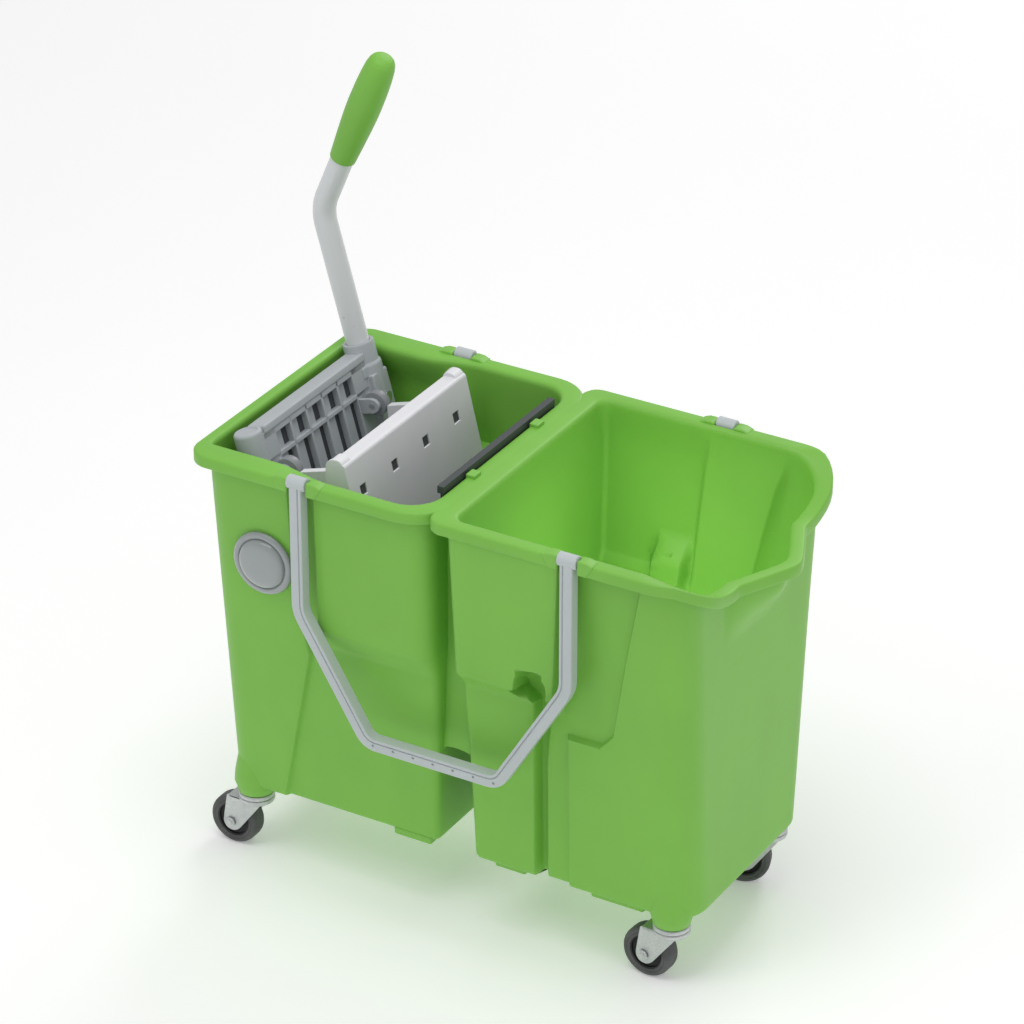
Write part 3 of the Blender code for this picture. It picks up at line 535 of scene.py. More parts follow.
def ringRow(cup, wallForm, z, inset=0.0, kind="wall", inside=0):
    # one half outline from the middle of the left end round the front to the middle of the
    # right end: straight end, corner arc, long wall, corner arc, straight end
    if kind == "wall":
        left, right, leftRadius, rightRadius = (
            np.interp(z, cup["wall"][:, 0], cup["wall"][:, i]) for i in (1, 2, 3, 4))
    else:
        left, right, half, leftRadius, rightRadius = cup[kind]
    left, right = left + inset, right - inset
    leftRadius = max(leftRadius - inset, 2.0)
    rightRadius = max(rightRadius - inset, 2.0)
    curves = [left + leftRadius]
    for knots, width, atRim in cup["edges"]:
        middle = along(z, *knots)
        curves += [middle - width, middle + width] if kind == "wall" else atRim
    curves = np.array(curves + [right - rightRadius])
    start, share = columnShares(cup)
    x = curves[start] * (1 - share) + curves[start + 1] * share
    if kind == "wall":
        depth = wallForm(x, z, inside) - inset
    else:
        depth = np.full(len(x), half - inset)
    arc = np.linspace(0, math.pi / 2, 10)[1:-1]
    ends = np.linspace(0, 1, cup["endColumns"] + 1)
    leftArc = np.column_stack([left + leftRadius * (1 - np.cos(arc)),
                               -depth[0] + leftRadius * (1 - np.sin(arc))])
    rightArc = np.column_stack([right - rightRadius * (1 - np.sin(arc)),
                                -depth[-1] + rightRadius * (1 - np.cos(arc))])
    leftEnd = np.column_stack([0 * ends + left, -(depth[0] - leftRadius) * ends])
    rightEnd = np.column_stack([0 * ends + right, -(depth[-1] - rightRadius) * ends[::-1]])
    flat = np.vstack([leftEnd, leftArc, np.column_stack([x, -depth]), rightArc, rightEnd])
    return np.column_stack([flat, np.full(len(flat), float(z))])


def mirroredRing(row):
    # the front half outline and its mirrored copy make the whole ring
    back = row[-2:0:-1] * (1, -1, 1)
    return np.vstack([row, back])


def spout(points):
    # draws the far end of the rim out into a nose and lets it down
    x, y, z = np.moveaxis(points, -1, 0)
    near = smooth((x - shell["noseFrom"]) / shell["noseLength"])
    reach = shell["noseReach"] * (1 - np.sqrt(y * y + 64) / shell["noseHalf"])
    drop = shell["noseDrop"] * np.sin(math.pi / 2 * np.clip((142 - np.abs(y)) / 75, 0, 1))
    out = np.clip(reach, 0, None) * near * smooth((z - 345) / 70)
    down = drop * near * smooth((z - 290) / 135)
    return np.stack([x + out, y, z - down], -1)


def rimRows(cup, wallForm):
    # lip and flange: channel behind the lip, lip, rounded top, and the opening's edge
    top, low, under = shell["rimTop"], shell["lipBottom"], shell["flangeUnder"]
    thick = shell["lipThickness"]
    rows = [ringRow(cup, wallForm, z, inset) for z, inset in
            ((426.5, 0.0), (429.5, -0.1), (430.9, -0.7))]
    wall = rows[-1]
    channel = [ringRow(cup, wallForm, z, inset, "rim") for inset, z in (
        (thick + 1.2, under), (thick + 0.3, under - 0.4), (thick, under - 1.3),
        (thick, low + 0.9))]
    for row in channel:   # where a panel fills the lip, the channel closes on it
        row[:, 1] = np.minimum(row[:, 1], np.where(wall[:, 1] < -120, wall[:, 1] - 0.3, 0))
    rows += channel
    rows += [ringRow(cup, wallForm, z, inset, "rim") for inset, z in (
        (thick - 0.3, low + 0.25), (thick - 0.9, low), (0.9, low), (0.3, low + 0.25),
        (0.0, low + 0.9), (0.0, low + 4.5), (0.0, top - 2.4), (0.2, top - 1.4),
        (0.75, top - 0.6), (1.5, top - 0.15), (2.6, top))]
    opening = [ringRow(cup, wallForm, z, inset, "opening") for inset, z in (
        (-4.6, top), (-3.0, top - 0.3), (-1.6, top - 1.0), (-0.6, top - 2.3), (0.0, top - 4.4))]
    if cup is wringerCup:   # the flange is wider over the pivots
        for row in opening:
            limit = 120 + 11 * smooth((row[:, 0] + 172) / 60) + (-131 - row[:, 1].min())
            row[:, 1] = np.maximum(row[:, 1], -limit)
    return rows, opening


def bucketSkin(cup, wallForm):
    thickness = shell["thickness"]
    foot, radius = shell["foot"], shell["footRadius"]
    turn = np.linspace(0, math.pi / 2, 6)
    rows = []
    edge = ringRow(cup, wallForm, foot, radius)
    middle = edge.mean(0) * (1, 0, 1)
    rows += [middle + (edge - middle) * share for share in (0.0, 0.35, 0.7, 0.93)]
    rows += [ringRow(cup, wallForm, foot + radius * (1 - math.cos(t)), radius * (1 - math.sin(t)))
             for t in turn]
    # rows are close together where the panels slope
    heights = np.concatenate([np.arange(88, 236, 9.0), np.arange(236, 321, 1.6),
                              np.arange(324, 425, 8.0)])
    rows += [ringRow(cup, wallForm, z) for z in heights]
    lip, opening = rimRows(cup, wallForm)
    rows += lip
    cut = len(rows)
    rows += opening
    notchRows = slice(cut - len(lip) + 3, cut)
    # the inner wall leaves the opening's outline slowly, so the rim has no ledge under it
    for z in (*range(430, 424, -2), *heights[::-1]):
        row = ringRow(cup, wallForm, z, thickness, inside=1)
        row[:, :2] += (opening[-1] - row)[:, :2] * (1 - smooth((432 - z) / shell["innerEase"]))
        rows.append(row)
    inner, innerRadius = shell["innerFoot"], shell["innerRadius"]
    rows += [ringRow(cup, wallForm, inner + innerRadius * (1 - math.cos(t)),
                     thickness + innerRadius * (1 - math.sin(t)), inside=1) for t in turn[::-1]]
    edge = rows[-1]
    middle = edge.mean(0) * (1, 0, 1)
    rows += [middle + (edge - middle) * share for share in (0.93, 0.7, 0.35, 0.0)]
    grid = np.stack([mirroredRing(row) for row in rows])
    # notches for the bail barrels: the rim is pushed in between the paired columns
    rim = grid[notchRows]
    inNotch = (np.abs(rim[..., 0] - cup["pin"]) < shell["notchHalf"])
    reach = np.where(inNotch, shell["notchDepth"], 1e3)
    rim[..., 1] = np.clip(rim[..., 1], -reach, reach)
    # each rim dips a little where the two cross on the divider, so that neither lies in the other
    past = grid[..., 0] - shell["divider"]
    side = -past if cup is spoutCup else past
    dip = shell["dip"] * smooth(side / 2.5 + 0.3) * (grid[..., 2] > 424)
    dip = np.where(np.abs(past) < 12, dip, 0)
    grid[..., 2] -= dip
    if cup is spoutCup:
        grid = spout(grid)
    return grid


wringerSkin = gridObject("wringerCompartment", bucketSkin(wringerCup, wringerWall), edgeAngle=50)
place(wringerSkin, "base", "green_plastic", green, "bucket_body")
spoutSkin = gridObject("spoutCompartment", bucketSkin(spoutCup, spoutWall), edgeAngle=50)
place(spoutSkin, "base", "green_plastic", green, "bucket_body")
print("bucket skins are made")

# bucket: webs, bosses and the other small forms of the moulding
fittings = {
    "web": (98.0, 101.5), "padY": (84, 104), "pads": ((42, 74), (142, 196), (-66, -26)),
    "boss": [(0, 62), (16.2, 62), (17.4, 62.8), (18.5, 68), (20.5, 74), (19.6, 84), (17, 98),
             (13, 112), (0, 112)],
    "post": [(0, 76), (14.5, 76), (13, 80), (11, 101), (10, 104), (0, 104)],
    "pivotBoss": [(14, 133), (32, 133), (32, 128), (31, 126.8), (23, 126.2), (22, 125),
                  (22, 113.3), (21, 112.4), (14.8, 112.4), (14, 113.2)],
    "hingeBoss": [(4.2, 115.6), (11, 115.6), (9.4, 109.4), (8.6, 108.6), (4.8, 108.6)],
    "ledge": ((-122, 118, 341), (-30, 134, 357)), "tabs": (-62, 50),
    "webLeft": [(-8.6, 433), (-9.5, 283), (-11.5, 237), (-14.9, 168)],
    "webRight": [(23.2, 168), (23, 200), (21.5, 262), (19.5, 282), (17.5, 433)],
    "webArch": (168, 11, 36),   # foot, rise and half width of the arch under a web
    "pinBlock": [(9.6, 424.2), (19, 424.2), (26, 436), (19, 438.6), (13, 438.8), (9.6, 438)],
    "pinBlockY": (136.0, 148.6),
}


def bothSides(profile, side):
    return [(radius, side * height) for radius, height in profile]


def bucketFittings():
    parts = []
    # the webs end inside the walls that they tie together
    foot, rise, half = fittings["webArch"]
    arch = [(x, foot + rise * math.cos(x / half * math.pi / 2)) for x in range(-12, 22, 4)]
    web = [*fittings["webLeft"], *arch, *fittings["webRight"]]
    near, far = fittings["web"]
    (lx, ly, lz), (hx, hy, hz) = fittings["ledge"]
    for side in (-1, 1):
        parts.append(prism("web", web, side * near, side * far, bevel=0.8))
        for low, high in fittings["pads"]:
            y0, y1 = sorted(side * y for y in fittings["padY"])
            parts.append(box("pad", (low, y0, 68), (high, y1, 76), 2.0))
        for x in layout["swivelX"]:
            centre = (x, side * layout["swivelY"], 0)
            parts.append(turned("boss", fittings["boss"], "Z", centre, 40))
            parts.append(turned("post", fittings["post"], "Z", centre, 32))
        for x in layout["pinX"]:
            for turn in (-1, 1):
                outline = [(x + turn * a, b) for a, b in fittings["pinBlock"]]
                low, high = sorted(side * y for y in fittings["pinBlockY"])
                parts.append(prism("pinBlock", outline, low, high, bevel=1.8, segments=4))
        centre = (layout["pivot"][0], 0, layout["pivot"][1])
        parts.append(turned("pivotBoss", bothSides(fittings["pivotBoss"], side), "Y", centre, 56))
        centre = (layout["plateHinge"][0], 0, layout["plateHinge"][1])
        parts.append(turned("hingeBoss", bothSides(fittings["hingeBoss"], side), "Y", centre, 32))
        low, high = sorted((side * ly, side * hy))
        parts.append(box("ledge", (lx, low, lz), (hx, high, hz), 2.2))
    for y in fittings["tabs"]:
        parts.append(box("tab", (-12.5, y, 433), (-3, y + 12, 439.3), 1.2))
    return gathered("bucketFittings", parts)


place(bucketFittings(), "base", "green_plastic", green, "bucket_body")
print("bucket fittings are made")

# bail handles
bailForm = {
    "wide": 12.5, "deep": 12.0, "grooveAt": 2.9, "grooveHalf": 0.75, "grooveDepth": 1.3,
    "bend": (6.0, 305.0), "foot": (70.0, 197.0), "gripZ": 190.0, "barrel": 6.5, "stub": 2.5,
    "dots": (-57.8, -36.7, -15.8, 4.9, 25.9, 47.0, 68.0), "dotRadius": 1.4,
}


def arcBetween(start, corner, end, radius, steps=10):
    # the arc of that radius which touches both legs of a corner
    start, corner, end = (np.asarray(p, float) for p in (start, corner, end))
    a = (start - corner) / np.linalg.norm(start - corner)
    b = (end - corner) / np.linalg.norm(end - corner)
    half = math.acos(np.clip(a @ b, -1, 1)) / 2
    middle = (a + b) / np.linalg.norm(a + b)
    centre = corner + middle * radius / math.sin(half)
    first = corner + a * radius / math.tan(half) - centre
    last = corner + b * radius / math.tan(half) - centre
    angles = np.unwrap([math.atan2(first[1], first[0]), math.atan2(last[1], last[0])])
    t = np.linspace(*angles, steps)[:, None]
    return centre + radius * np.hstack([np.cos(t), np.sin(t)])


def bail(name, side):
    # a bar with a moulded groove in both faces, and a row of dimples under the grip
    left, right = layout["pinX"]
    pinZ, gripZ = layout["pinZ"], bailForm["gripZ"]
    inset, bendZ = bailForm["bend"]
    foot, footZ = bailForm["foot"]
    upper = arcBetween((left, pinZ), (left + inset - 6, bendZ), (left + foot, footZ), 34)
    lower = arcBetween((left, bendZ), (left + foot, gripZ), (0, gripZ), 17)
    straight = np.column_stack([np.full(6, float(left)), np.linspace(pinZ, bendZ + 16, 6)])
    half = np.vstack([straight, upper, lower])
    middle = (left + right) / 2
    grip = np.column_stack([np.linspace(half[-1, 0], middle, 9)[1:], np.full(8, gripZ)])
    half = np.vstack([half, grip])
    path = np.vstack([half, (half[::-1] * (-1, 1) + (2 * middle, 0))[1:]])
    wide, deep = bailForm["wide"] / 2, bailForm["deep"] / 2
    at, reach, sunk = bailForm["grooveAt"], bailForm["grooveHalf"], bailForm["grooveDepth"]
    corners = [(-wide, -deep), (at - reach, -deep), (at - reach + 0.35, -deep + sunk),
               (at + reach - 0.35, -deep + sunk), (at + reach, -deep), (wide, -deep),
               (wide, deep), (at + reach, deep), (at + reach - 0.35, deep - sunk),
               (at - reach + 0.35, deep - sunk), (at - reach, deep), (-wide, deep)]
    section = rounded(corners, (1.6, 0.3, 0.25, 0.25, 0.3, 1.3, 1.3, 0.3, 0.25, 0.25, 0.3, 1.6), 3)
    bar = swept("bar", path, section, side * layout["pinY"], edgeAngle=60)
    holes = []
    for x in bailForm["dots"]:
        centre = (x, side * (layout["pinY"] + deep), gripZ)
        profile = [(0, -1.1), (bailForm["dotRadius"], -1.1), (bailForm["dotRadius"], 1.2), (0, 1.2)]
        holes.append(turned("dot", profile, "Y", centre, 12))
    parts = [cutWith(bar, holes)]
    barrel, stub = bailForm["barrel"], bailForm["stub"]
    profile = [(0, -16.3), (stub - 0.4, -16.3), (stub, -15.9), (stub, -9.4), (barrel - 0.8, -9.4),
               (barrel, -8.6), (barrel, 8.6), (barrel - 0.8, 9.4), (stub, 9.4), (stub, 15.9),
               (stub - 0.4, 16.3), (0, 16.3)]
    for x in layout["pinX"]:
        centre = (x, side * layout["pinY"], pinZ)
        parts.append(turned("barrel", profile, "X", centre, 36))
    return gathered(name, parts)


place(bail("frontBail", -1), "bail_front", "grey_plastic", handleGrey, "bail_front")
place(bail("backBail", 1), "bail_back", "grey_plastic", handleGrey, "bail_back")
print("bail handles are made")

# pivot caps
capForm = [(0, 133.25), (30.2, 133.25), (31, 134.0), (31, 135.2), (30.4, 136.4), (28.8, 137.3),
           (26.6, 137.6), (25.4, 137.4), (24.9, 136.9), (24.6, 136.1), (24.25, 136.1),
           (24.0, 136.9), (23.6, 138.2), (22.4, 139.6), (20.2, 140.6), (16, 141.5), (10, 141.95),
           (5, 142.1), (0, 142.1)]
sides = ((-1, "front"), (1, "back"))
for side, word in sides:
    centre = (layout["pivot"][0], 0, layout["pivot"][1])
    cap = turned(word + "PivotCap", bothSides(capForm, side), "Y", centre, 72, edgeAngle=60)
    place(cap, "base", "grey_gloss", capGrey, "pivot_cap_" + word)
print("pivot caps are made")

# lever: carrier, tube and grip
lever = {
    "tubeN": -12.7, "tubeRadius": 11.0, "tubeY": 100.0, "bend": (-262.0, 574.0),
    "gripEnd": (-192.0, 740.0), "gripLength": 120.0, "tubeStart": 38.0, "bendRadius": 45,
    "rollerU": 66.0, "rollerN": 10.5, "rollerY": 75.0, "rollerRadius": 12.0,
    "firstPocket": -63.0, "pocketStep": 26.5, "pocketWide": 21.5, "pockets": 5,
}
# blocks of the carrier in the lever's frame: n, Y and u from and to, then the bevel
carrierBlocks = {
    "backWall": (-21, -19, -90, 88, 12, 102, 0.7),
    "foot": (-21, -2.6, -92, 90, 10, 23.6, 1.2),
    "middleRail": (-21, -3, -92, 90, 74.4, 78.6, 0.6),
    "topRail": (-21, -3, -92, 90, 96.8, 104, 0.8),
    "roundedTop": (-21.5, -1.8, -80, 91, 102, 110.5, 2.0),
    "frontEnd": (-21, -3, -92, -63.2, 10, 104, 1.0),
    "backEnd": (-21, -3, 64.6, 90, 10, 104, 1.0),
    "socketBlock": (-28.8, 3.8, 87, 111.8, 34, 88, 2.0),
    "socketStep": (-24, -1.5, 82, 104, 86, 97, 1.6),
}
carrierTurned = {   # radius and height of the turned pieces
    "nose": [(0, 12), (12, 12), (13.5, 13.5), (13.5, 107.6), (13.1, 109.6), (11.9, 110.9),
             (10, 111.2), (9.2, 110.8), (8.9, 109.9), (0, 109.9)],
    "socket": [(11.3, 27), (16, 26), (17, 27), (17, 95), (16.4, 97), (15.2, 98), (15, 99),
               (15, 116.6), (14.4, 117.8), (13, 118), (11.6, 117.6), (11.3, 117)],
    "hub": [(10.3, -104), (15.2, -104), (16, -103.2), (16, 103.2), (15.2, 104), (10.3, 104)],
}
rollerEar = [(-19, -7), (10, -7.4), (14.6, -5.8), (17.3, -3), (18, 0), (17.3, 3), (14.6, 5.8),
             (10, 7.4), (-19, 7)]


def leaning(n, u):
    # the lever's own frame: n in front of the shaft, u up along the lever
    lean = layout["lean"]
    x = layout["pivot"][0] + n * np.cos(lean) - u * np.sin(lean)
    z = layout["pivot"][1] + n * np.sin(lean) + u * np.cos(lean)
    return x, z


def slab(n0, n1, y0, y1, u0, u1, bevel):
    outline = [leaning(n, u) for n, u in ((n0, u0), (n1, u0), (n1, u1), (n0, u1))]
    return prism("slab", outline, y0, y1, bevel=bevel)


def upright(name, profile, n, y, count=48, wrap=True):
    # surface of revolution about an axis that runs up the lever
    profile = np.asarray(profile, float)
    angle = np.arange(count) * 2 * math.pi / count
    across = profile[:, :1] * np.cos(angle)
    x, z = leaning(n + across, profile[:, 1:] + 0 * across)
    grid = np.stack([x, y + profile[:, :1] * np.sin(angle), z], -1)
    return gridObject(name, grid, wrap)


def leverCarrier():
    # two rows of pockets between ribs, each with a floor in its front part
    parts = [slab(*block) for block in carrierBlocks.values()]
    for i in range(lever["pockets"]):
        low = lever["firstPocket"] + lever["pocketStep"] * i
        if i:
            parts.append(slab(-21, -3, low - 4.2, low - 0.9, 10, 104, 0.6))
        split = low + 12.5
        parts.append(slab(-20, -7.6, low - 1, split, 78, 98, 0.5))
        parts.append(slab(-20, -6.8, low - 1, split + 1, 22, 75, 0.5))
    parts.append(upright("nose", carrierTurned["nose"], -12, -92, wrap=False))
    parts.append(upright("socket", carrierTurned["socket"], lever["tubeN"], lever["tubeY"]))
    centre = (layout["pivot"][0], 0, layout["pivot"][1])
    parts.append(turned("hub", carrierTurned["hub"], "Y", centre, 48))
    outline = [leaning(a, lever["rollerU"] + b) for a, b in rollerEar]
    for y in (-lever["rollerY"], lever["rollerY"]):
        for turn in (-1, 1):
            low, high = sorted((y + turn * 5.4, y + turn * 9.6))
            parts.append(prism("ear", outline, low, high, bevel=0.6))
    return gathered("leverCarrier", parts)


def carrierShade():
    # painted shade: dark slabs in the deep ends of the pockets stand in for the shade of the hollow
    # behind them
    parts = []
    for i in range(lever["pockets"]):
        low = lever["firstPocket"] + lever["pocketStep"] * i
        high = low + lever["pocketWide"]
        parts.append(slab(-19.6, -9.4, low + 12, high + 1, 78.2, 97.2, 0.2))
        parts.append(slab(-19.6, -9.4, low + 13, high + 1, 23.2, 74.8, 0.2))
    return gathered("carrierPaintedPocketShade", parts)


def leverTube():
    # the centre line bends once; both ends are hidden in the socket and the grip
    start = leaning(lever["tubeN"], lever["tubeStart"])
    bend, end = np.array(lever["bend"]), np.array(lever["gripEnd"])
    top = end - 8 * (end - bend) / np.linalg.norm(end - bend)
    path = np.vstack([start, arcBetween(start, bend, top, lever["bendRadius"], 16), top])
    angle = np.arange(56) * 2 * math.pi / 56
    section = lever["tubeRadius"] * np.column_stack([np.cos(angle), np.sin(angle)])
    return swept("leverTube", path, section, lever["tubeY"])


def leverGrip():
    # revolved about the upper leg of the tube: a profile of few points, evened out along it
    bend, end = np.array(lever["bend"]), np.array(lever["gripEnd"])
    length = lever["gripLength"]
    line = (end - bend) / np.linalg.norm(end - bend)
    across = np.array([line[1], -line[0]])
    profile = np.array([
        (11.1, 0.2), (11.9, 0), (12.3, 0.5), (12.6, 4), (13.3, 14), (14.3, 28), (15.3, 44),
        (15.85, 58), (15.9, 68), (15.6, 84), (14.9, 97), (13.9, 107), (12.5, 113.2),
        (10.8, 116.6), (8.4, 118.8), (5.4, 119.7), (2.6, 120), (0, 120)])
    fine = np.linspace(0, len(profile) - 1, 96)
    index = np.arange(len(profile))
    radius, axial = (np.interp(fine, index, profile[:, i]) for i in (0, 1))
    evened = np.convolve(np.pad(radius, 2, "edge"), np.array([1, 2, 3, 2, 1]) / 9, "valid")
    radius[3:-3] = evened[3:-3]
    angle = np.arange(64) * 2 * math.pi / 64
    start = end - line * length
    flat = (start + line * axial[:, None])[:, None] + (
        radius[:, None] * np.cos(angle))[..., None] * across
    y = lever["tubeY"] + radius[:, None] * np.sin(angle)
    grid = np.stack([flat[..., 0], y, flat[..., 1]], -1)
    base = grid[:1].mean(1, keepdims=True) + 0 * grid[:1]
    return gridObject("leverGrip", np.concatenate([base, grid]), edgeAngle=60)


place(leverCarrier(), "lever", "grey_plastic", carrierGrey, "lever_carrier")
# painted shade in the deep ends of the pockets
place(carrierShade(), "lever", "dark_plastic", paintedShade, "lever_carrier")
place(leverTube(), "lever", "grey_paint", tubePaint, "lever_tube")
place(leverGrip(), "lever", "green_plastic", greenGrip, "lever_grip")
print("lever is made")

# rollers
rollerForm = [(3.1, -4.6), (3.6, -5), (10.6, -5), (11.6, -4.6), (12, -3.8), (12, 3.8),
              (11.6, 4.6), (10.6, 5), (3.6, 5), (3.1, 4.6)]
for side, word in sides:
    x, z = leaning(lever["rollerN"], lever["rollerU"])
    roller = turned(word + "Roller", rollerForm, "Y", (x, side * lever["rollerY"], z), 56)
    place(roller, "roller_" + word, "roller_plastic", rollerPlastic, "roller_" + word)
print("rollers are made")

# press plate
plate = {
    "half": 105.0, "top": 440.0, "faceX": -112.0, "slope": 0.243, "thick": 3.5, "low": 252.0,
    "holes": (-84.5, -31.0, 22.5, 76.0), "holeZ": 409.0, "holeHalf": 5.0,
    "slots": (-90, -65, -40, -15, 10, 35, 60, 85), "knuckles": (-84, -28, 28, 84),
}


def faceX(z):
    return plate["faceX"] + (plate["top"] - z) * plate["slope"]


def turnedAbout(x, z, centre, angle):
    # right-handed turn about +Y
    dx, dz = x - centre[0], z - centre[1]
    return (centre[0] + dx * np.cos(angle) + dz * np.sin(angle),
            centre[1] - dx * np.sin(angle) + dz * np.cos(angle))


def camEdge():
    # the roller's path as the plate sees it, moved out by its radius and a gap
    angle = math.radians(50) * np.linspace(-0.04, 1.02, 25)
    x, z = leaning(lever["rollerN"], lever["rollerU"])
    x, z = turnedAbout(x, z, layout["pivot"], angle)
    x, z = turnedAbout(x, z, layout["plateHinge"], -angle * 0.4)
    path = np.column_stack([x, z])
    step = np.gradient(path, axis=0)
    step /= np.linalg.norm(step, axis=1)[:, None]
    normal = np.column_stack([-step[:, 1], step[:, 0]])
    normal *= np.sign(normal[:, :1])
    return path + normal * (lever["rollerRadius"] + 0.8)


def pressPlate():
    top, low, thick, half = plate["top"], plate["low"], plate["thick"], plate["half"]
    corners = [(faceX(top), top), (faceX(low), low), (faceX(low) - thick - 1, low - 1),
               (faceX(top - 6.5) - thick, top - 6.5), (faceX(top) - 15, top - 4.6),
               (faceX(top) - 16, top - 1)]
    outline = rounded(corners, (3.4, 1.2, 1.2, 2.5, 1.4, 1.4), 4)
    face = prism("face", outline, -half, half, bevel=0)
    holes = []
    reach = plate["holeHalf"]
    for y in plate["holes"]:
        z = plate["holeZ"]
        holes.append(box("hole", (faceX(z) - 12, y - reach, z - reach),
                         (faceX(z) + 12, y + reach, z + reach), 0))
    for y in plate["slots"]:
        holes.append(box("slot", (faceX(305) - 8, y - 2.5, 300), (faceX(305) + 8, y + 2.5, 325), 0))
    parts = [soften(cutWith(face, holes), 0.6, 2)]
    for side in (-1, 1):
        near, far = sorted((side * (half - 4), side * (half - 0.05)))
        shape = [(faceX(285) - 1, 285), (faceX(285) - 22, 287), (faceX(425) - 24, 425),
                 (faceX(430) - 22, 438), (faceX(top) - 14, 443), (faceX(top) - 6, 443),
                 (faceX(top) - 0.8, top - 1.6)]
        shape = rounded(shape, (1, 4, 5, 5, 4, 4, 3), 5)
        parts.append(prism("flange", shape, near, far, bevel=1.6, segments=4))
        near, far = sorted((side * (half - 14), side * (half - 0.3)))
        ear = [(faceX(top) - 17, 436), (faceX(top) - 14.5, 443), (faceX(top) - 6, 443.6),
               (faceX(top) - 1.2, 439.6), (faceX(top) - 2, 434)]
        ear = rounded(ear, (0.8, 3, 4, 3, 0.8), 5)
        parts.append(prism("ear", ear, near, far, bevel=2.4, segments=5))
    cam = [tuple(point) for point in camEdge()]
    for y in (-lever["rollerY"], lever["rollerY"]):
        shape = cam + [(faceX(300) - 14, 300), (faceX(300) - 2, 290), (faceX(425) - 2, 425)]
        parts.append(prism("cam", shape, y - 3.9, y + 3.9, bevel=0.5))
    x, z = layout["plateHinge"]
    knuckle = [(4.2, -11.4), (4.8, -12), (7.2, -12), (8, -11.2), (8, 11.2), (7.2, 12), (4.8, 12),
               (4.2, 11.4)]
    for y in plate["knuckles"]:
        strap = [(x - 7.6, z + 4.6), (x - 8, z + 8), (faceX(275) - 4, 275), (faceX(275) - 1, 275),
                 (faceX(254) - 1, 254), (x + 7.6, z + 4.6)]
        parts.append(prism("strap", strap, y - 12, y + 12, bevel=0.7))
        parts.append(turned("knuckle", knuckle, "Y", (x, y, z), 36))
    return gathered("pressPlate", parts)


def plateShade():
    # painted shade: dark sheets behind the holes and slots stand in for the shade inside the hollow
    # plate
    parts = []
    holeRow = (plate["holeHalf"] - 0.1, 404.1, 413.9, plate["holes"])
    slotRow = (2.4, 300.1, 324.9, plate["slots"])
    for reach, low, high, places in (holeRow, slotRow):
        outline = [(faceX(low) - 1.5, low), (faceX(high) - 1.5, high), (faceX(high) - 3, high),
                   (faceX(low) - 3, low)]
        parts += [prism("shade", outline, y - reach, y + reach, bevel=0) for y in places]
    return gathered("pressPlateShade", parts)


place(pressPlate(), "press", "light_grey_plastic", plateGrey, "press_plate")
# painted shade behind the plate's holes and slots
place(plateShade(), "press", "dark_plastic", paintedShade, "press_plate")
print("press plate is made")

# castors
castor = {
    "trail": 22.0, "wheelRadius": 25.0,
    "turns": {"fl": (0, -1, 180), "bl": (0, 1, 168), "fr": (1, -1, 176), "br": (1, 1, 200)},
    "cheek": [(-10, 54.2), (-10, 50.6), (13.6, 18.6), (19.6, 15.3), (27, 16.6), (30.6, 23),
              (30, 29), (26, 54.2)],
    "tyre": [(17.0, -8.4), (17.6, -8.8), (19.4, -8.9), (19.8, -8.55), (20.2, -8.55),
             (20.6, -8.95), (22.4, -9), (23.6, -8.3), (24.5, -6.9), (24.95, -5), (25, -2.5),
             (25, 2.5), (24.95, 5), (24.5, 6.9), (23.6, 8.3), (22.4, 9), (20.6, 8.95),
             (20.2, 8.55), (19.8, 8.55), (19.4, 8.9), (17.6, 8.8), (17.0, 8.4)],
    "hub": [(3.2, -9.3), (3.5, -9.6), (6, -9.6), (6.5, -9.1), (7.1, -5.6), (7.8, -5.2),
            (14.6, -5.2), (15.4, -5.6), (16, -7.2), (16.8, -7.6), (16.8, 7.6), (16, 7.2),
            (15.4, 5.6), (14.6, 5.2), (7.8, 5.2), (7.1, 5.6), (6.5, 9.1), (6, 9.6), (3.5, 9.6),
            (3.2, 9.3)],
    "stem": [(0, 48.7), (7.4, 48.7), (8, 49.2), (8, 50.2), (7.6, 50.6), (5.5, 50.7), (5.5, 56.8),
             (16.6, 56.9), (17.2, 57.4), (17.2, 60.0), (16.9, 60.8), (15.9, 61.5), (12, 61.6),
             (5.5, 61.6), (5.5, 95.5), (5, 96), (0, 96)],
    "crown": [(5.9, 51.5), (15.9, 51.5), (16.8, 51.9), (17.2, 52.8), (17.2, 55.2), (16.7, 56.1),
              (15.8, 56.4), (5.9, 56.4)],
    "bolt": [(0, -14.9), (3.6, -14.9), (4.9, -14.5), (5.5, -13.9), (5.6, -13.3), (5.6, -12.7),
             (3, -12.6), (3, 15.3), (2.6, 15.7), (0, 15.7)],
}


def swung(made, which, side, angle):
    # turns a castor's piece about its own stem and carries it to its corner
    angle = math.radians(angle)
    points = np.empty(len(made.data.vertices) * 3)
    made.data.vertices.foreach_get("co", points)
    points = points.reshape(-1, 3) + (layout["originX"] / 1000, 0, 0)
    turn = np.array([[math.cos(angle), math.sin(angle), 0],
                     [-math.sin(angle), math.cos(angle), 0], [0, 0, 1]])
    corner = np.array([layout["swivelX"][which] - layout["originX"],
                       side * layout["swivelY"], 0]) / 1000
    made.data.vertices.foreach_set("co", (points @ turn + corner).ravel())
    made.data.update()
    return made


def castorFork():
    # two pressed cheeks, folded under a crown that runs out over the wheel
    parts = [turned("crown", castor["crown"], "Z", (0, 0, 0), 48)]
    plan = rounded([(-9, -12.2), (24.5, -12.2), (24.5, 12.2), (-9, 12.2)], (3, 1.5, 1.5, 3), 4)
    bridge = prism("bridge", plan, 52.0, 54.3, "Z", bevel=0.5)
    ring = turned("hole", [(0, 40), (5.9, 40), (5.9, 60), (0, 60)], "Z", (0, 0, 0), 32)
    parts.append(cutWith(bake(bridge), [ring]))
    outline = rounded(castor["cheek"], (2, 2, 6, 4, 4, 4, 5, 2), 5)
    for y in (-12.2, 10.2):
        parts.append(prism("cheek", outline, y, y + 2, bevel=0.5))
    return gathered("fork", parts)


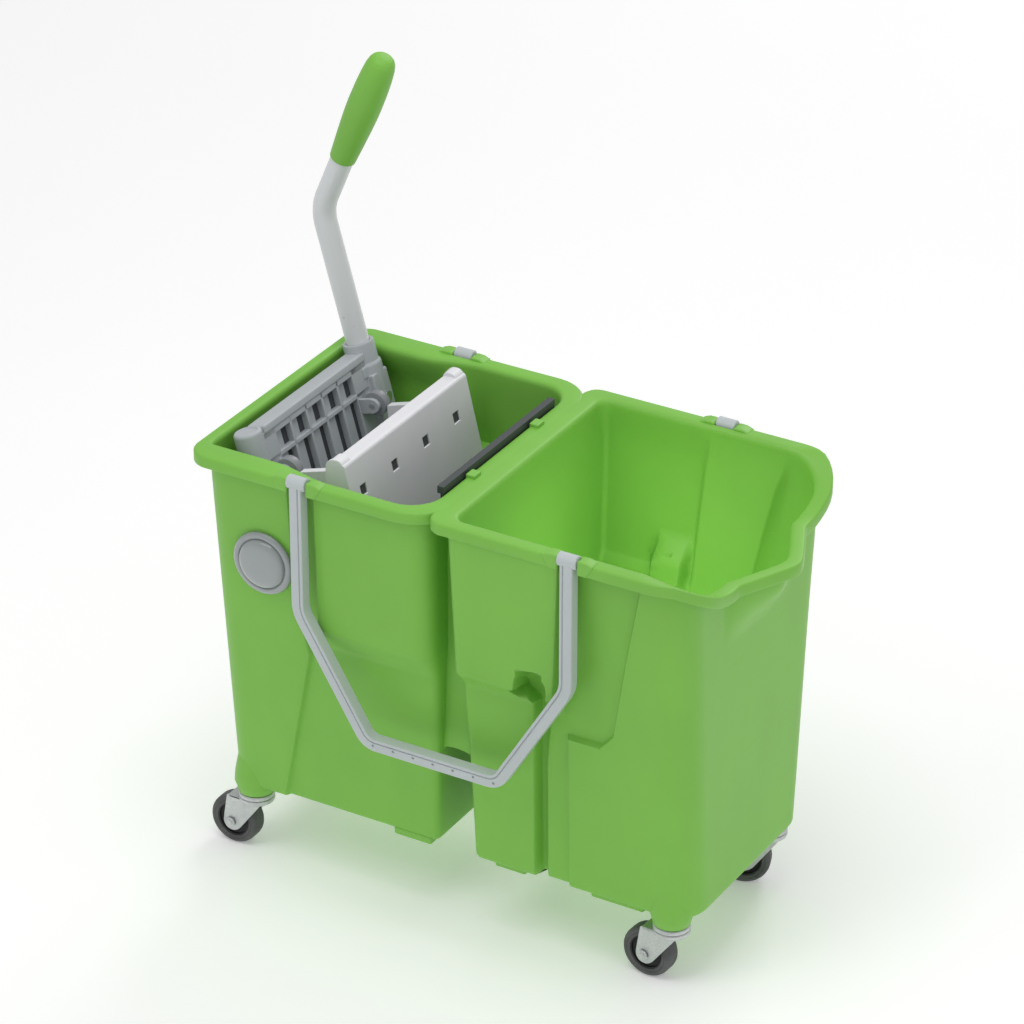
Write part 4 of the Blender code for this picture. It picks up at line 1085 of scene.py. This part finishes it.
def castorNut(centre):
    # a hexagon with turned shoulders
    angle = np.arange(6) * math.pi / 3 + 0.17
    outline = np.column_stack([np.cos(angle), np.sin(angle)]) * 5.5 + (centre[0], centre[2])
    return prism("nut", outline, 12.65, 14.9, bevel=0.5)


for word, (which, side, angle) in castor["turns"].items():
    base, axle = "castor_" + word + "_", (castor["trail"], 0, castor["wheelRadius"])
    made = [
        ("Stem", turned("stem", castor["stem"], "Z", (0, 0, 0), 48), "base", "zinc", zinc, "stem"),
        ("Fork", castorFork(), "fork_" + word, "zinc", zinc, "fork"),
        ("Tyre", turned("tyre", castor["tyre"], "Y", axle, 96), "wheel_" + word, "grey_rubber",
         tyreRubber, "tyre"),
        ("Hub", turned("hub", castor["hub"], "Y", axle, 64), "wheel_" + word, "black_plastic",
         blackPlastic, "hub"),
        ("Axle", turned("axle", castor["bolt"], "Y", axle, 32), "fork_" + word, "zinc", zinc,
         "axle"),
        ("Nut", castorNut(axle), "fork_" + word, "zinc", zinc, "nut"),
    ]
    for label, piece, body, slot, material, node in made:
        bake(piece)
        piece.name = word + "Castor" + label
        place(swung(piece, which, side, angle), body, slot, material, base + node)
print("castors are made")

# carried-over nodes
kept = {
    "strainer": darkPlastic, "pivot_shaft": steel, "press_hinge_rod": steel, "lever_bolt": steel,
    "roller_pin_front": steel, "roller_pin_back": steel, "pivot_bush_front": bushPlastic,
    "pivot_bush_back": bushPlastic,
}
for name, material in kept.items():
    nodes[name].data.materials.clear()
    nodes[name].data.materials.append(material)
print("carried-over nodes are finished")

# floor, light and camera
studio = {
    "floorSize": 14.0, "camera": (1.89547, -3.25060, 2.44844), "azimuth": 30.3715,
    "elevation": 28.8301, "lens": 168.02, "world": 0.49, "floorGlow": 0.21,
    # place, what it points at, size and power
    "lamps": {
        "overhead": ((0.1, -0.35, 2.2), (0.0, 0.0, 0.3), 1.2, 12),
        "front": ((-0.9, -1.9, 3.0), (0.0, 0.0, 0.3), 1.4, 10.5),
        "end": ((3.0, -0.9, 1.5), (0.0, 0.0, 0.3), 1.8, 5),
        "rear": ((-0.4, 4.6, 3.2), (-0.3, 1.6, 0.0), 2.4, 60),
    },
    "insideLamps": {   # place and power
        "spoutLow": ((0.125, 0.0, 0.19), 0.27), "spoutHigh": ((0.125, 0.0, 0.34), 0.25),
    },
    "insideTint": (1.0, 0.84, 1.0),
}


def stageFloor():
    half = studio["floorSize"] / 2
    mesh = bpy.data.meshes.new("floor")
    mesh.from_pydata([(-half, -half, 0), (half, -half, 0), (half, half, 0), (-half, half, 0)],
                     [], [(0, 1, 2, 3)])
    made = bpy.data.objects.new("floor", mesh)
    bpy.context.scene.collection.objects.link(made)
    finish = Finish("paleFloor")
    tint = finish.mixed(finish.noise(3, 3), (0.93, 0.93, 0.93, 1), (0.95, 0.95, 0.95, 1))
    mesh.materials.append(finish.give({
        "Base Color": tint, "Roughness": 0.8, "Emission Color": (1, 1, 1, 1),
        "Emission Strength": studio["floorGlow"]}))


def softLight(name, place, target, size, power):
    data = bpy.data.lights.new(name, "AREA")
    data.shape, data.size, data.energy = "DISK", size, power
    made = bpy.data.objects.new(name, data)
    back = np.array(place, float) - target
    back /= np.linalg.norm(back)
    side = np.cross((0, 0, 1), back)
    side /= np.linalg.norm(side)
    turn = np.column_stack([side, np.cross(back, side), back, place])
    made.matrix_world = Matrix(np.vstack([turn, (0, 0, 0, 1)]).tolist())
    bpy.context.scene.collection.objects.link(made)


def camera():
    az, el = math.radians(studio["azimuth"]), math.radians(studio["elevation"])
    back = np.array([math.sin(az) * math.cos(el), -math.cos(az) * math.cos(el), math.sin(el)])
    side = np.array([math.cos(az), math.sin(az), 0])
    turn = np.column_stack([side, np.cross(back, side), back, studio["camera"]])
    data = bpy.data.cameras.new("camera")
    data.lens, data.sensor_width = studio["lens"], 36
    data.clip_start, data.clip_end = 0.05, 60
    made = bpy.data.objects.new("camera", data)
    made.matrix_world = Matrix(np.vstack([turn, (0, 0, 0, 1)]).tolist())
    bpy.context.scene.collection.objects.link(made)
    bpy.context.scene.camera = made


def insideLight(name, place, power):
    # a small lamp in the open compartment: thin walls pass light that a solid shade doesn't
    data = bpy.data.lights.new(name, "POINT")
    data.energy, data.shadow_soft_size = power, 0.05
    data.color = studio["insideTint"]
    made = bpy.data.objects.new(name, data)
    made.location = place
    made.visible_camera = False
    made.visible_glossy = False
    bpy.context.scene.collection.objects.link(made)


stageFloor()
for name, lamp in studio["lamps"].items():
    softLight(name, *lamp)
for name, lamp in studio["insideLamps"].items():
    insideLight(name, *lamp)
camera()
world = bpy.data.worlds.new("studio")
world.use_nodes = True
world.node_tree.nodes["Background"].inputs["Color"].default_value = (1, 1, 1, 1)
world.node_tree.nodes["Background"].inputs["Strength"].default_value = studio["world"]
bpy.context.scene.world = world
bpy.context.scene.view_settings.view_transform = "Standard"

print("scene is ready")
